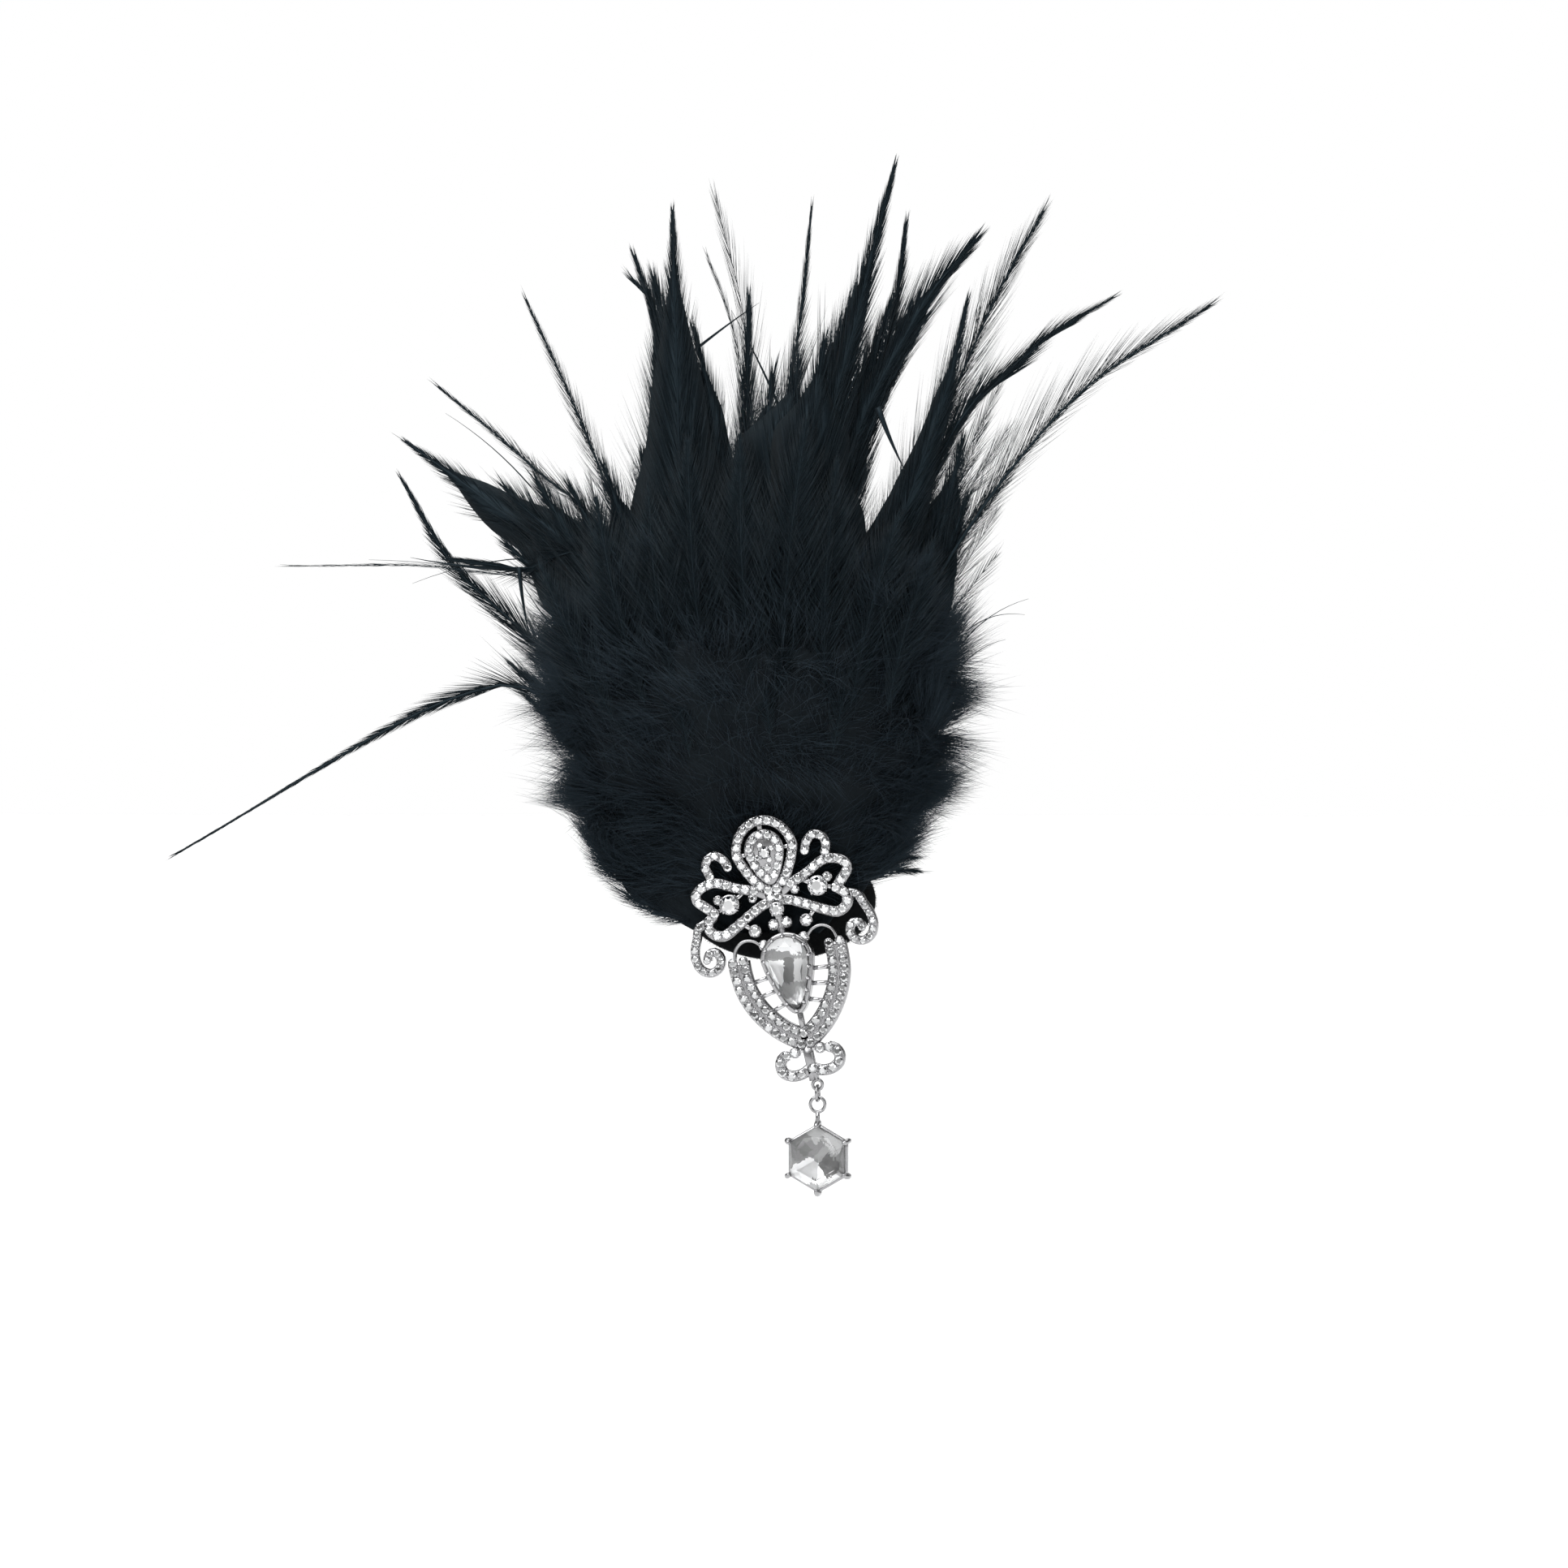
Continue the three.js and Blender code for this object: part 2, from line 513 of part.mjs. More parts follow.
// The down: a body lofted through level sections, with pointed locks around its edge and on its front
function puff() {
  const rings = PUFF.map(([height, left, right, front]) =>
    Array.from({ length: PUFF_SIDES }, (_, i) => {
      const angle = (2 * Math.PI * i) / PUFF_SIDES;
      const waist = PUFF_BACK - 1;
      const depth = Math.sin(angle) > 0 ? front - waist : waist - PUFF_BACK;
      const x = (left + right) / 2 + ((right - left) / 2) * Math.cos(angle);
      return new THREE.Vector3(x, waist + depth * Math.sin(angle), height);
    }));
  const fringe = new THREE.CatmullRomCurve3(FRINGE.map(([x, z]) => new THREE.Vector3(x, 0, z)));
  const edge = fringe.getSpacedPoints(LOCK_COUNT - 1).map((tip) => {
    const out = tip.clone().sub(FRINGE_CENTRE).normalize();
    return lock(tip.addScaledVector(out, -LOCK_LENGTH).setY(PUFF_BACK - 2.5), out);
  });
  const front = FRONT_LOCKS.map(([x, z, depth]) =>
    lock(new THREE.Vector3(x, depth, z), new THREE.Vector3(x * 0.015, (z - 45) * 0.013, 1).normalize()));
  const behind = new THREE.BoxGeometry(300, 40, 300).translate(0, PUFF_BACK + 20, 0);
  const forBrooch = new THREE.BoxGeometry(48, 40, 70).translate(0, BROOCH_BACK + SEAT_GAP - 20, 20.3 - 35);
  const whole = fuse([solidOf(loft(rings)), ...edge, ...front]);
  return whole.subtract(solidOf(behind)).subtract(solidOf(forBrooch));
}

const brooch = new THREE.Group();
brooch.name = "brooch";
brooch.position.set(0, BROOCH_BACK, 0);
brooch.rotation.y = -BROOCH_LEAN;
brooch.add(piece("brooch_frame", broochFrame(), SILVER));
brooch.add(piece("pear_stone", pearStone(), CRYSTAL));
for (const [name, across, up, width, cupFront] of ROUND_STONES) {
  brooch.add(piece(name, roundStone(across, up, width, cupFront), CRYSTAL));
}

const ring = piece("jump_ring", jumpRing(), SILVER);
ring.position.set(HANG_X, HANG_Y, RING_Z);

const drop = new THREE.Group();
drop.name = "drop";
drop.position.set(HANG_X, HANG_Y, DROP_HEIGHT);
drop.add(piece("drop_setting", dropSetting(), SILVER));
drop.add(piece("drop_stone", dropStone(), CRYSTAL));

const plume = new THREE.Group();
plume.name = "plume";
plume.add(piece("hackle_fan", fuse(FEATHERS.map(blade)), BLACK_FEATHER));
plume.add(piece("marabou_puff", puff(), BLACK_FEATHER));

const part = new THREE.Group();
part.name = "feather_hair_clip";
part.add(piece("clip", clip(), STEEL));
part.add(piece("felt_pad", feltPad(), BLACK_FELT));
part.add(plume);
part.add(brooch);
part.add(ring);
part.add(drop);

export default part;
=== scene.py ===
"""Looks of the feather hair clip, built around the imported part.

Tables and shapes are in millimetres, the scene is in metres. The brooch faces -Y and +Z is up.
"""
import math

import bpy
import numpy as np
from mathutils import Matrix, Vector


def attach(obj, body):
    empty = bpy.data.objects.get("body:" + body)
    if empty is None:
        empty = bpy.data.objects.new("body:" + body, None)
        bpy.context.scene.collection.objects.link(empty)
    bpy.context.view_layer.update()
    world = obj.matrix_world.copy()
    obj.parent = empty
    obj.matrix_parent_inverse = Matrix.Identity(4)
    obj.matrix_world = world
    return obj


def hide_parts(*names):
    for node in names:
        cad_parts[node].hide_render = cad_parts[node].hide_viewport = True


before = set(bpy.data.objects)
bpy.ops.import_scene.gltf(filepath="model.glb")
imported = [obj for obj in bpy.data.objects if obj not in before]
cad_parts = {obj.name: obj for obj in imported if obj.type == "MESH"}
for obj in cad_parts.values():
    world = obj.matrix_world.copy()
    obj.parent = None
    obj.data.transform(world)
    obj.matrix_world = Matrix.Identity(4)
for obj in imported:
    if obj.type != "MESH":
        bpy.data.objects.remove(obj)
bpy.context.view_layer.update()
rng = np.random.default_rng(41)
MM = 0.001

# The brooch's own table of sizes, as in the part
LEAN = math.radians(12.4)
BROOCH_BACK = -12.6
BROOCH_LEVEL = 9.5
METAL_THICK = 1.5
STRIP_WIDTH = 2.5
WIRE_WIDTH = 0.65
BAR_WIDTH, BAR_THICK = 1.0, 1.2
# Steps along a wide and along a fine band
BAND_STEP, FINE_STEP = 0.8, 0.7
# Pitch of a full stone's row, and its parts that stay and that shrink with the stone
STONE_PITCH, PITCH_FIXED, PITCH_SLIM = 2.05, 0.3, 0.7
STONE_RADIUS = 1.0
STONE_SPACE = 1.6
SHIELD_WIDTH = 5.0
SHIELD_ROW = 1.24
CLUSTER_FRONT = -1.9

# Scrolls of the right half through (across, up) pairs; the left half mirrors them
EAR = [(8.9, 19.2), (9.6, 21), (11.4, 22.4), (13.3, 21.6), (13.9, 20), (13.3, 18)]
UPPER_LOOP = [
    (0.8, 10.6), (3.4, 12.4), (8.2, 14.3), (12.6, 16.4), (16.4, 15.6), (17.5, 13.6), (15.8, 11.6), (14, 9.8),
]
LOWER_LOOP = [(14, 9.8), (15.9, 8), (15.6, 5.8), (13.2, 4.5), (10, 5.8), (7.2, 7.3), (3.6, 9.1), (0.8, 9.8)]
VOLUTE = [
    (16.4, 8.2), (18.4, 7.3), (19.2, 5.2), (20.2, 2.7), (20.5, 0.2), (19.6, -2), (17.6, -3), (15.6, -2.2),
    (14.9, -0.2), (15.9, 1.4), (17.4, 1.1), (17.9, -0.1),
]
BOW = [(0.4, -28.3), (2.2, -29.1), (4.4, -29.2), (6.3, -28.2), (6.8, -26.5), (6.1, -25), (4.9, -24.4)]
LOBE = [(11.9, -1.6), (11.2, 0.9), (9.2, 2.3), (6.9, 2.0), (5.2, 0.5)]
SHIELD = [(11.1, -1.9), (11.1, -5.2), (10.6, -9), (8.9, -13.2), (6.4, -16.8), (3.5, -19.6), (0, -21.5)]
BARS = [
    ((10.2, 11), (14, 9.8)), ((10.2, 11), (6.4, 13.2)), ((6.1, 4.1), (8.6, 6.5)), ((0, -23.8), (2.9, -24.2)),
    ((3.9, 21), (6.4, 21)), ((4.6, -6.6), (8.9, -7.1)), ((3.6, -9.8), (8.3, -10.6)), ((2.2, -13), (6, -14.2)),
]
# Bars on the axis: lower end, upper end, width
SPINE = [(-31, -21, 2.2), (-20.6, -14.4, 1.2), (1.5, 11, 1.7), (12, 15, 1.2), (25, 28, 1.2)]
# Small stones of the right half in cups of their own: across, up, radius
SINGLES = [
    (5.9, 4.1, 1.2), (4.6, 0.6, 0.95), (1.4, 4.6, 1.05), (2.9, -24.2, 0.95), (4.9, 11.3, 0.8),
    (12.6, 12.5, 0.9),
]
# Egg outlines, point down: half-width, reach above, reach below, pinch, widest level
HALO = (6.4, 6.9, 9, 0.35, 21)
CLUSTER = (4.55, 4.9, 7.7, 0.3, 21)
CLUSTER_ROW = (3.45, 3.8, 6.3, 0.3, 21)
PEAR = (4.85, 4.8, 11.3, 0.36, -3.4)
COLLAR = (5.3, 5.25, 11.9, 0.36, -3.4)
COLLAR_WIDTH, COLLAR_THICK = 1.4, 2.6
CLAW_LINE = (5.45, 5.4, 12.1, 0.36, -3.4)
# Claws round the pear: step along their line, level that they lean to
PEAR_CLAW_STEP, PEAR_MIDDLE = 2.75, -4.8
# Round plate under the crown: level, radius
TIP_PLATE = (11.4, 2.2)
# Plate in the halo: depth of its eased edge, share of its outline there
CLUSTER_EDGE, CLUSTER_EASE = 0.2, 0.95
# Its stones: level of the middle one, least space between two
CLUSTER_MIDDLE, CLUSTER_SPACE = 20.6, 1.2
# How many stand round the middle one, how far off, their radius; the one below as across, up, radius
CLUSTER_RING, CLUSTER_TIP = (4, 1.9, 0.62), (0, 17.3, 0.85)
# Size of the stones on that plate and on the shield, against a full stone
CLUSTER_SLIM, SHIELD_SLIM = 0.94, 0.98
# Brightest painted reflection on a facet on the crown, the lower scrolls and the shield; the darkest is less
# by the spread
CROWN_SHINE, SCROLL_SHINE, SHIELD_SHINE, TONE_SPREAD = 0.95, 0.75, 0.68, 0.45
# Rows on the scrolls: line, size of the stones, brightest painted reflection on a facet
SCROLLS = [
    (EAR, 0.9, CROWN_SHINE), (UPPER_LOOP, 1, CROWN_SHINE), (LOWER_LOOP, 1, CROWN_SHINE),
    (VOLUTE, 0.8, SCROLL_SHINE), (BOW, 1, SCROLL_SHINE),
]
# Cups: rows of 0 for the brooch's back or 1 for the cup's front, depth from there, width beyond the stone
ROW_CUP = [(1, 0.5, 0.02), (1, -0.22, 0.09), (1, -0.22, -0.12)]
SINGLE_CUP = [(0, 0, 0.3), (1, 0.2, 0.28), (1, 0, 0.15)]
ROUND_CUP = [(0, 0, 0.3), (1, 0.2, 0.3), (1, 0, 0.2), (1, 0, -0.2)]
PLATE_CUP = [(0, 0, 0), (1, 0.2, 0), (1, 0, -0.2)]
# Claws: foot and tip from the cup's front, radius, lean of the tip
ROW_CLAW = (0.4, -0.55, 0.23, 0.12)
SINGLE_CLAW = (0.5, -0.7, 0.24, 0.15)
ROUND_CLAW = (0.6, -1.0, 0.34, 0.35)
PEAR_CLAW = (-0.9, -3.75, 0.56, 0.6)
# How far they stand out: as a share of the stone's radius, or beyond it; turns of each four
ROW_CLAW_SHARE, SINGLE_CLAW_OFF, ROUND_CLAW_OFF = 13 / 15, 0.12, 0.32
SINGLE_CLAW_TURNS = (0.8, 2.4, 3.9, 5.5)
ROUND_CLAW_TURNS = (0.785, 2.356, 3.927, 5.498)
# Cut of the small stones: facets round, shares of the crown's break and of the table
STONE_FOLDS, CROWN_SHARE, TABLE_SHARE = 8, 0.8, 0.55
# In rows: seat before the cup's front, rise and fall by radius, share of the culet, most turn, tilt
ROW_SEAT, ROW_RISE, ROW_FALL, ROW_CULET, ROW_TURN, ROW_TILT = 0.2, 0.36, 0.5, 0.3, 1.5, 0.08
# Round ones: seat, rise, back before the cup's front, share of the culet, turn; tones of the facets' painted
# reflections
ROUND_SEAT, ROUND_RISE, ROUND_BACK, ROUND_CULET, ROUND_TURN = 0.4, 0.42, 0.02, 0.55, 0.2
ROUND_TONES = (0.5, 1.0)
# Breaks between facets: level in the crown, girdle's thickness, share and level in the back
CROWN_BREAK, GIRDLE, BACK_SHARE, BACK_BREAK = 0.62, 0.12, 0.5, 0.6
# Large stones: facets round, girdle, table, shares of the break and the table, culet, its share; then the
# edge and the middle of the foil
PEAR_CUT, PEAR_FOIL = (9, -3.05, -5.0, 0.88, 0.72, -2.8, 0.3), (-2.75, -0.8)
DROP_CUT, DROP_FOIL = (6, -0.35, -2.4, 0.88, 0.7, -0.1, 0.3), (-0.05, 2.2)
# Painted reflections on their foil, light and dark patches: boxes from left and low to right and high, tone;
# ground is the tone elsewhere. The pear's are in the part's x and z, the drop's are measured from its middle
# and hold kites
PEAR_GROUND = 0.33
PEAR_REFLECTION_CHART = [
    (-1.6, -11, 4.2, -7, 0.9), (-2.6, -12.7, 4.6, -11, 0.26), (3.6, -11.7, 5.6, -9.4, 0.95),
    (-3.4, -18.6, 2.1, -13, 1.0), (2.1, -18, 4.3, -12.4, 0.14), (4.3, -17.6, 8, -12.6, 0.72),
    (4.9, -22, 6.9, -18.6, 0.5), (3.8, -26, 6, -22.4, 0.12),
]
DROP_GROUND = 0.3
DROP_REFLECTION_CHART = [
    (-8, -1.6, 2, 8, 0.2), (-2.6, 3, 1.8, 7.4, 0.46), (-4.4, 0.2, -1.2, 3.4, 0.12), (-6.4, -6, 2.6, 0.4, 1.0),
    (0, -4.2, 4.4, 1.4, 0.06), (3.2, -2.8, 7.2, 2.8, 0.18), (0.6, 0.8, 6.6, 8, 0.55),
    (1.6, -6.4, 5.4, -2.4, 0.6), (-3, -8, 1, -4.2, 0.26),
]
# Round stones that are pieces of their own: node, across, up, radius, front of the cup
ROUND_STONES = [
    ("halo_stone", 0, CLUSTER_MIDDLE, 1.2, CLUSTER_FRONT),
    ("side_stone_right", 10.2, 11, 2.0, -2.2),
    ("side_stone_left", -10.2, 11, 2.0, -2.2),
    ("trefoil_stone", 0, 7.8, 1.4, -1.8),
]

# Hanging parts: the eyelet's place, radius and wire on the brooch, then the ring and the drop's loop
EYE_ACROSS, EYE_UP, EYE_RADIUS, EYE_WIRE = 0.5, -32.1, 1.1, 0.38
RING_RADIUS, RING_WIRE = 1.7, 0.35
LOOP_RADIUS, LOOP_WIRE = 1.65, 0.38
LINK_PLAY = 0.15
DROP_HEIGHT = -56.9
# The drop's stone: reach of its corners and how far they are eased
DROP_CORNER, CORNER_EASE = 7.1, 0.985
# Section of its wall as depth and reach; a claw's line as reach and depth, and its radii
DROP_WALL = [(2.5, 7.35), (2.5, 6.75), (0.1, 6.72), (0.1, 7.5), (0.5, 7.7), (2.1, 7.62)]
DROP_CLAW = [(7.5, 2.6), (7.85, 1.6), (7.9, 0.2), (7.75, -0.9), (7.35, -1.7), (6.9, -1.95), (6.75, -1.97)]
DROP_CLAW_RADII = [0.5, 0.6, 0.62, 0.62, 0.58, 0.36, 0.05]
# Its neck: depth, height and radius; the top's radius and how far it goes into the loop
NECK = [(0.25, 7.2, 0.75), (0.2, 8.0, 0.65), (0.1, 8.9, 0.5)]
NECK_TOP, NECK_OVERLAP = 0.4, 0.1

# Felt pad: an oval's half-width, half-height and middle; its edge as depth and inset; its nap
PAD_WIDE, PAD_HIGH, PAD_X, PAD_Z = 22.0, 13.5, -1.0, 0.2
PAD_EDGE = [
    (-4.0, 9.0), (-3.9, 1.2), (-4.05, 0.45), (-4.4, 0.08), (-4.9, 0.0), (-5.4, 0.08), (-5.75, 0.45),
    (-5.9, 1.2), (-5.85, 9.0),
]
NAP_COUNT, NAP_INSET, NAP_BACK = 2600, 0.3, -3.95

# Long feathers: lower point, upper point and tip as x and z, the tip's depth; then the vane: its width, the
# share of the quill where it starts to narrow, how sharply it narrows, barbs per mm on both sides or on the
# left and on the right, and the angle in degrees at which they leave the quill
FEATHERS = [
    (-48, 41, -75, 45.6, -140.8, 10.1, -7, 9, 0.4, 3.0, 2.2, 9),
    (-48.3, 63.2, -74.1, 74.5, -114.8, 75.8, -4, 2.4, 0.5, 2.0, 0.8, 7),
    (-53, 53.2, -76, 75, -89.6, 95.8, 0, 8.6, 0.66, 1.4, 2.4, 12),
    (-45, 70, -67.5, 89, -89.3, 104.4, 2, 28, 0.6, 1.5, 2.8, 17),
    (-37.5, 75.8, -57.9, 97.7, -80.3, 116.3, -2, 8, 0.6, 1.1, (0.9, 1.3), 14),
    (-32.2, 70.4, -46.7, 106.4, -61.3, 136.3, 4, 10, 0.62, 1.2, (1.5, 1.2), 13),
    (-20.8, 74, -24.4, 122.6, -25.7, 155.2, -3, 30, 0.58, 1.5, 3.0, 13),
    (-23.8, 74, -28.4, 122.6, -35.6, 145.6, 2, 11, 0.72, 1.1, 2.4, 12),
    (-26, 100, -29.4, 130, -35.7, 140.2, 0, 8, 0.8, 1.0, 2.4, 12),
    (-7.5, 78, -9.5, 126, -17.9, 159.2, 6, 9, 0.74, 0.8, 0.7, 10),
    (-8, 90, -11, 124, -18.6, 145.8, 0, 4, 0.7, 1.2, 0.9, 10),
    (-2, 88, 3, 130, 5, 156, 3, 10, 0.62, 1.6, 1.9, 11),
    (6.7, 83, 17.6, 133.4, 25.2, 164, -4, 16, 0.64, 1.4, 3.2, 11),
    (13.7, 83, 24, 129.8, 26.8, 152, 2, 9, 0.7, 1.2, 2.4, 11),
    (12.6, 88.4, 28.4, 127.9, 43, 147.6, -1, 13, 0.8, 0.9, 3.4, 12),
    (22.8, 70.4, 36.6, 112.6, 41.7, 134, -4, 14, 0.6, 1.25, 2.6, 12),
    (24.7, 75.8, 44.2, 128, 57.5, 154, 4, 13, 0.76, 0.85, (1.9, 1.5), 13),
    (33, 93.2, 54, 121.3, 73.7, 134.1, 0, 9, 0.7, 1.1, (1.8, 1.3), 12),
    (33, 93.2, 52.4, 119.1, 66.1, 129.5, -1, 4.5, 0.8, 0.9, 2.4, 9),
    (30.6, 63.2, 62.6, 108.4, 95.8, 131.6, -4, 14, 0.72, 0.9, (1.95, 0.6), 15),
    (31, 74, 43, 93, 50.5, 105, -3, 18, 0.7, 0.9, 1.0, 15),
    (33, 60, 41, 74, 48.5, 87, -5, 16, 0.7, 0.9, 1.0, 17),
    (30, 76, 40.5, 98, 48.5, 115, -2, 16, 0.7, 0.9, 1.0, 14),
    (32, 68, 43.5, 86, 53, 98, -4, 18, 0.7, 0.9, 1.0, 15),
    (32, 54, 41.5, 68, 48.5, 77, -6, 15, 0.7, 0.9, 1.0, 17),
    (29, 70, 39.5, 92, 46, 108, -4, 16, 0.7, 0.9, 1.0, 15),
    (31, 64, 41.5, 82, 50.5, 94, -2, 17, 0.7, 0.9, 1.0, 16),
]
# Shorter dense feathers that close the fan between the long ones, with the same columns
CORES = [
    (-17, 56, -20.9, 92, -20.1, 115.4, -5, 31, 0.66, 0.8, 2.4, 15),
    (-12, 74, -16.2, 108, -21.2, 129, -2, 13, 0.66, 1.0, 2.4, 12),
    (-24, 56, -30.4, 84, -32.4, 100.5, -4, 17, 0.7, 0.8, 2.4, 14),
    (-6, 64, -8.4, 104, -8.8, 136, 0, 8, 0.7, 1.0, 2.4, 10),
    (-2.4, 56, -0.7, 92, 3.7, 121, -5, 31, 0.82, 0.8, 2.4, 15),
    (4, 70, 6.4, 100, 9.6, 125, -6, 22, 0.84, 0.6, 2.4, 13),
    (10, 74, 17.6, 112, 24, 134, -2, 12, 0.72, 0.9, 2.4, 13),
    (14.1, 56, 28.6, 88.4, 37.6, 110, -5, 22, 0.58, 0.9, 2.4, 15),
    (26, 54, 35.5, 82, 40.5, 103, -4, 20, 0.66, 0.9, 2.4, 15),
    (26, 46, 34, 68, 42, 90, -6, 15, 0.66, 0.9, 2.4, 16),
    (-30, 47, -46.5, 75.8, -61.5, 90.2, -5, 28, 0.6, 0.9, 2.4, 17),
    (-37, 60, -47.6, 80, -57, 95, -5, 19, 0.7, 0.8, 2.4, 15),
    (-32, 60, -41.6, 80, -49, 93.5, -6, 20, 0.7, 0.8, 2.4, 15),
    (-26, 58, -34.5, 80, -41, 98, -6, 19, 0.7, 0.8, 2.4, 15),
    (6, 50, 12, 80, 14.6, 104, -6, 28, 0.6, 0.8, 2.4, 16),
    (-9, 50, -11, 78, -10, 103, -6, 30, 0.62, 0.8, 2.4, 16),
    (-40, 54, -53.5, 71, -64, 80.5, -5, 19, 0.66, 0.8, 2.4, 16),
    (-38, 40, -50, 51.5, -60.5, 61, -6, 16, 0.6, 0.9, 2.4, 17),
    (-38, 34, -51, 44, -62, 53, -7, 13, 0.6, 0.9, 2.4, 16),
    (-40, 72, -60, 74.6, -77, 77, -5, 5, 0.7, 0.9, 2.4, 10),
    (-40, 62, -54, 82, -64.5, 93.5, -4, 22, 0.74, 0.8, 2.4, 15),
    (-22, 90, -26.5, 124, -30.5, 140.5, -1, 10.5, 0.8, 0.8, 2.4, 12),
    (-5, 60, -5, 92, -2.5, 118, -4, 18, 0.85, 0.7, 2.4, 13),
    (3, 80, 10, 116, 16, 136, -3, 12, 0.8, 0.8, 2.4, 12),
    (16, 5, 24, 7.2, 32, 6.8, -12, 10, 0.7, 0.9, 2.2, 16),
    (16, 7, 24, 9.6, 31.5, 9.8, -13, 10, 0.7, 0.9, 2.2, 16),
    (-36, 28, -48, 37, -58, 45.5, -8, 13, 0.6, 0.9, 2.4, 16),
    (-41, 68, -52, 86, -58.5, 99, -1, 17, 0.7, 0.9, 1.0, 15),
    (-35, 66, -41.6, 83, -45.5, 95, -1, 14, 0.7, 0.9, 1.0, 14),
]
# Soft plumes on the down's front: root and tip as x and z, full width
PLUMES = [
    (-34, 40, -55, 76, 22), (-27, 43, -42, 90, 24), (-21, 48, -30, 93, 21), (-13, 44, -21, 103, 26),
    (-3, 48, -9, 103, 22), (3, 44, 6, 107, 26), (13, 47, 13, 98, 21), (19, 43, 27, 86, 22),
    (27, 42, 35, 80, 20), (-17, 32, -27, 76, 23), (1, 36, -4, 82, 22), (15, 33, 22, 74, 23),
]
# Their depths
PLUME_ROOT, PLUME_MIDDLE, PLUME_TIP = -25.0, -22.0, -9.0
# Bare strands that show between the feathers: both ends as x and z, sag sideways, depth, thickness
BARE_QUILLS = [
    (-21.8, 123.8, -6.8, 134.4, -0.2, 2, 0.36), (-2.2, 111.6, -12.8, 132.6, 0.3, 0, 0.3),
    (21.9, 109.8, 28.4, 94.9, 0.3, -7, 0.7), (-50, 77, -86, 71.6, 2, -3, 0.16),
    (-60.4, 75, -57.6, 58, 0.4, -6, 0.55), (-46, 58, -57, 80, 1.5, -6, 0.24),
    (-44, 54, -60, 73, -1.5, -8, 0.24), (-52, 74.5, -86, 77.4, -1, -5, 0.7), (-58, 93, -78, 110, 1, -4, 0.14),
    (-56, 72, -96, 77, 1, -4, 0.1), (41, 57, 56, 67, -1.5, -9, 0.1), (42, 60, 55, 63.5, -1.5, -8, 0.1),
    (41, 52, 51, 58, -1, -10, 0.1),
]
STRAND_TIP = 0.03
# Quills: depth and height of their feet, the feet's share of the lower point's x and its limit
QUILL_DEPTH, QUILL_FOOT, FOOT_SHARE, FOOT_REACH = -7.7, -3, 0.16, 7
# Radius of a quill's foot: least, more by mm of the vane's width, under a faint vane; radii of the tips
FOOT_RADIUS, FOOT_GROWTH, FAINT_FOOT, TIP_RADIUS, FAINT_TIP = 0.35, 0.018, 0.2, 0.06, 0.03
# Barbs per mm up to which a vane is faint, from which it is dense or streaky; barb radii; more barbs in all
FAINT, DENSE, STREAKY = 1.0, 2.0, 3.1
DENSE_BARB, FINE_BARB = 0.085, 0.05
CLOSENESS = 1.3
# Barbs that lie close along a quill: most width; barbs per mm, angle, radius
CLOSE_WIDTH, CLOSE_BARBS = 2.4, (0.8, 7, 0.07)
# Least share of the width on a vane's thin side
THIN_SIDE = 0.3
# Shares of the quill at the first barb and where the outline closes; length of a lock; longest barb
FIRST_BARB, VANE_END, LOCK, LONGEST_BARB = 0.22, 1.03, 3, 34
# Barbs' angle along the quill as a share of the feather's; least angle
BARB_ANGLES = ([0, 0.4, 0.75, 1], [1.8, 1.5, 1.0, 0.55])
LEAST_ANGLE = 0.05
# Web of a dense vane: its ends as shares of the quill, least width of the vane, closed share of it
WEB_FROM, WEB_TO, WEB_LEAST, STREAKY_WEB, FULL_WEB = 0.14, 0.94, 10, 0.45, 0.76
# Vane of a soft plume as in the feathers' columns, radius of its quill, share of it at the first barb
PLUME_VANE, PLUME_QUILL, PLUME_BARB = (0.5, 0.8, 2.6, 18), 0.1, 0.02

# Level sections of the down's body: height, left, right, front
PUFF = [
    (-8, -17, 9, -12.1), (0, -34, 18, -12.2), (10, -42.3, 26.7, -12.2), (20.5, -43.8, 31, -12.4),
    (30, -45.5, 34.5, -21), (44, -49.5, 38, -27), (54.5, -50, 38, -27), (63.5, -45, 33, -22),
    (71, -34, 27, -16), (76.25, -14, 10, -11.5),
]
# Depth of its widest line, and how far its back lies behind that
PUFF_WAIST, PUFF_BACK = -10.4, 3.5
# The body's rows: lowest, highest, how many; how far it shrinks; waves round it: count, start, height
BODY_ROWS, BODY_SUNK = (-7, 74, 54), -2.2
BODY_WAVES = [(7, 1.0, 0.6), (13, 2.2, 0.5), (23, 4.0, 0.4)]
# The crown's top edge on the brooch, across and up; down stays behind the brooch, and above the edge it comes
# forward by a slope
CROWN_TOP = (
    [0, 5, 7.7, 9, 14.5, 15.5, 18.5, 19.5, 22.5, 24, 60], [29.5, 28.5, 25, 24.5, 24.5, 19, 18, 8, 7, -5, -40])
CROWN_SLOPE, BEHIND_BROOCH = 1.1, 0.35
# The down's front: where it starts to flatten and over what depth
DOWN_FRONT, DOWN_GIVE = -29, 7
# Its back, before the felt and a margin round it, and before the clip's jaw
FELT_FACE, FELT_MARGIN = -6.3, 1.5
JAW_FACE, JAW_HALF, JAW_TOP = -4.4, 6, 37.5
# The down's lower hem: x and the lowest height of a barb's end there
HEM = ([-60, -50, -46, -42, -38, -34, -30, -20, -10, 15, 19, 21, 32, 36, 45],
       [22, 20, 14, 6, 0, -3, -5.5, -6.5, -8, -6, 0, 6, 6, 10, 22])
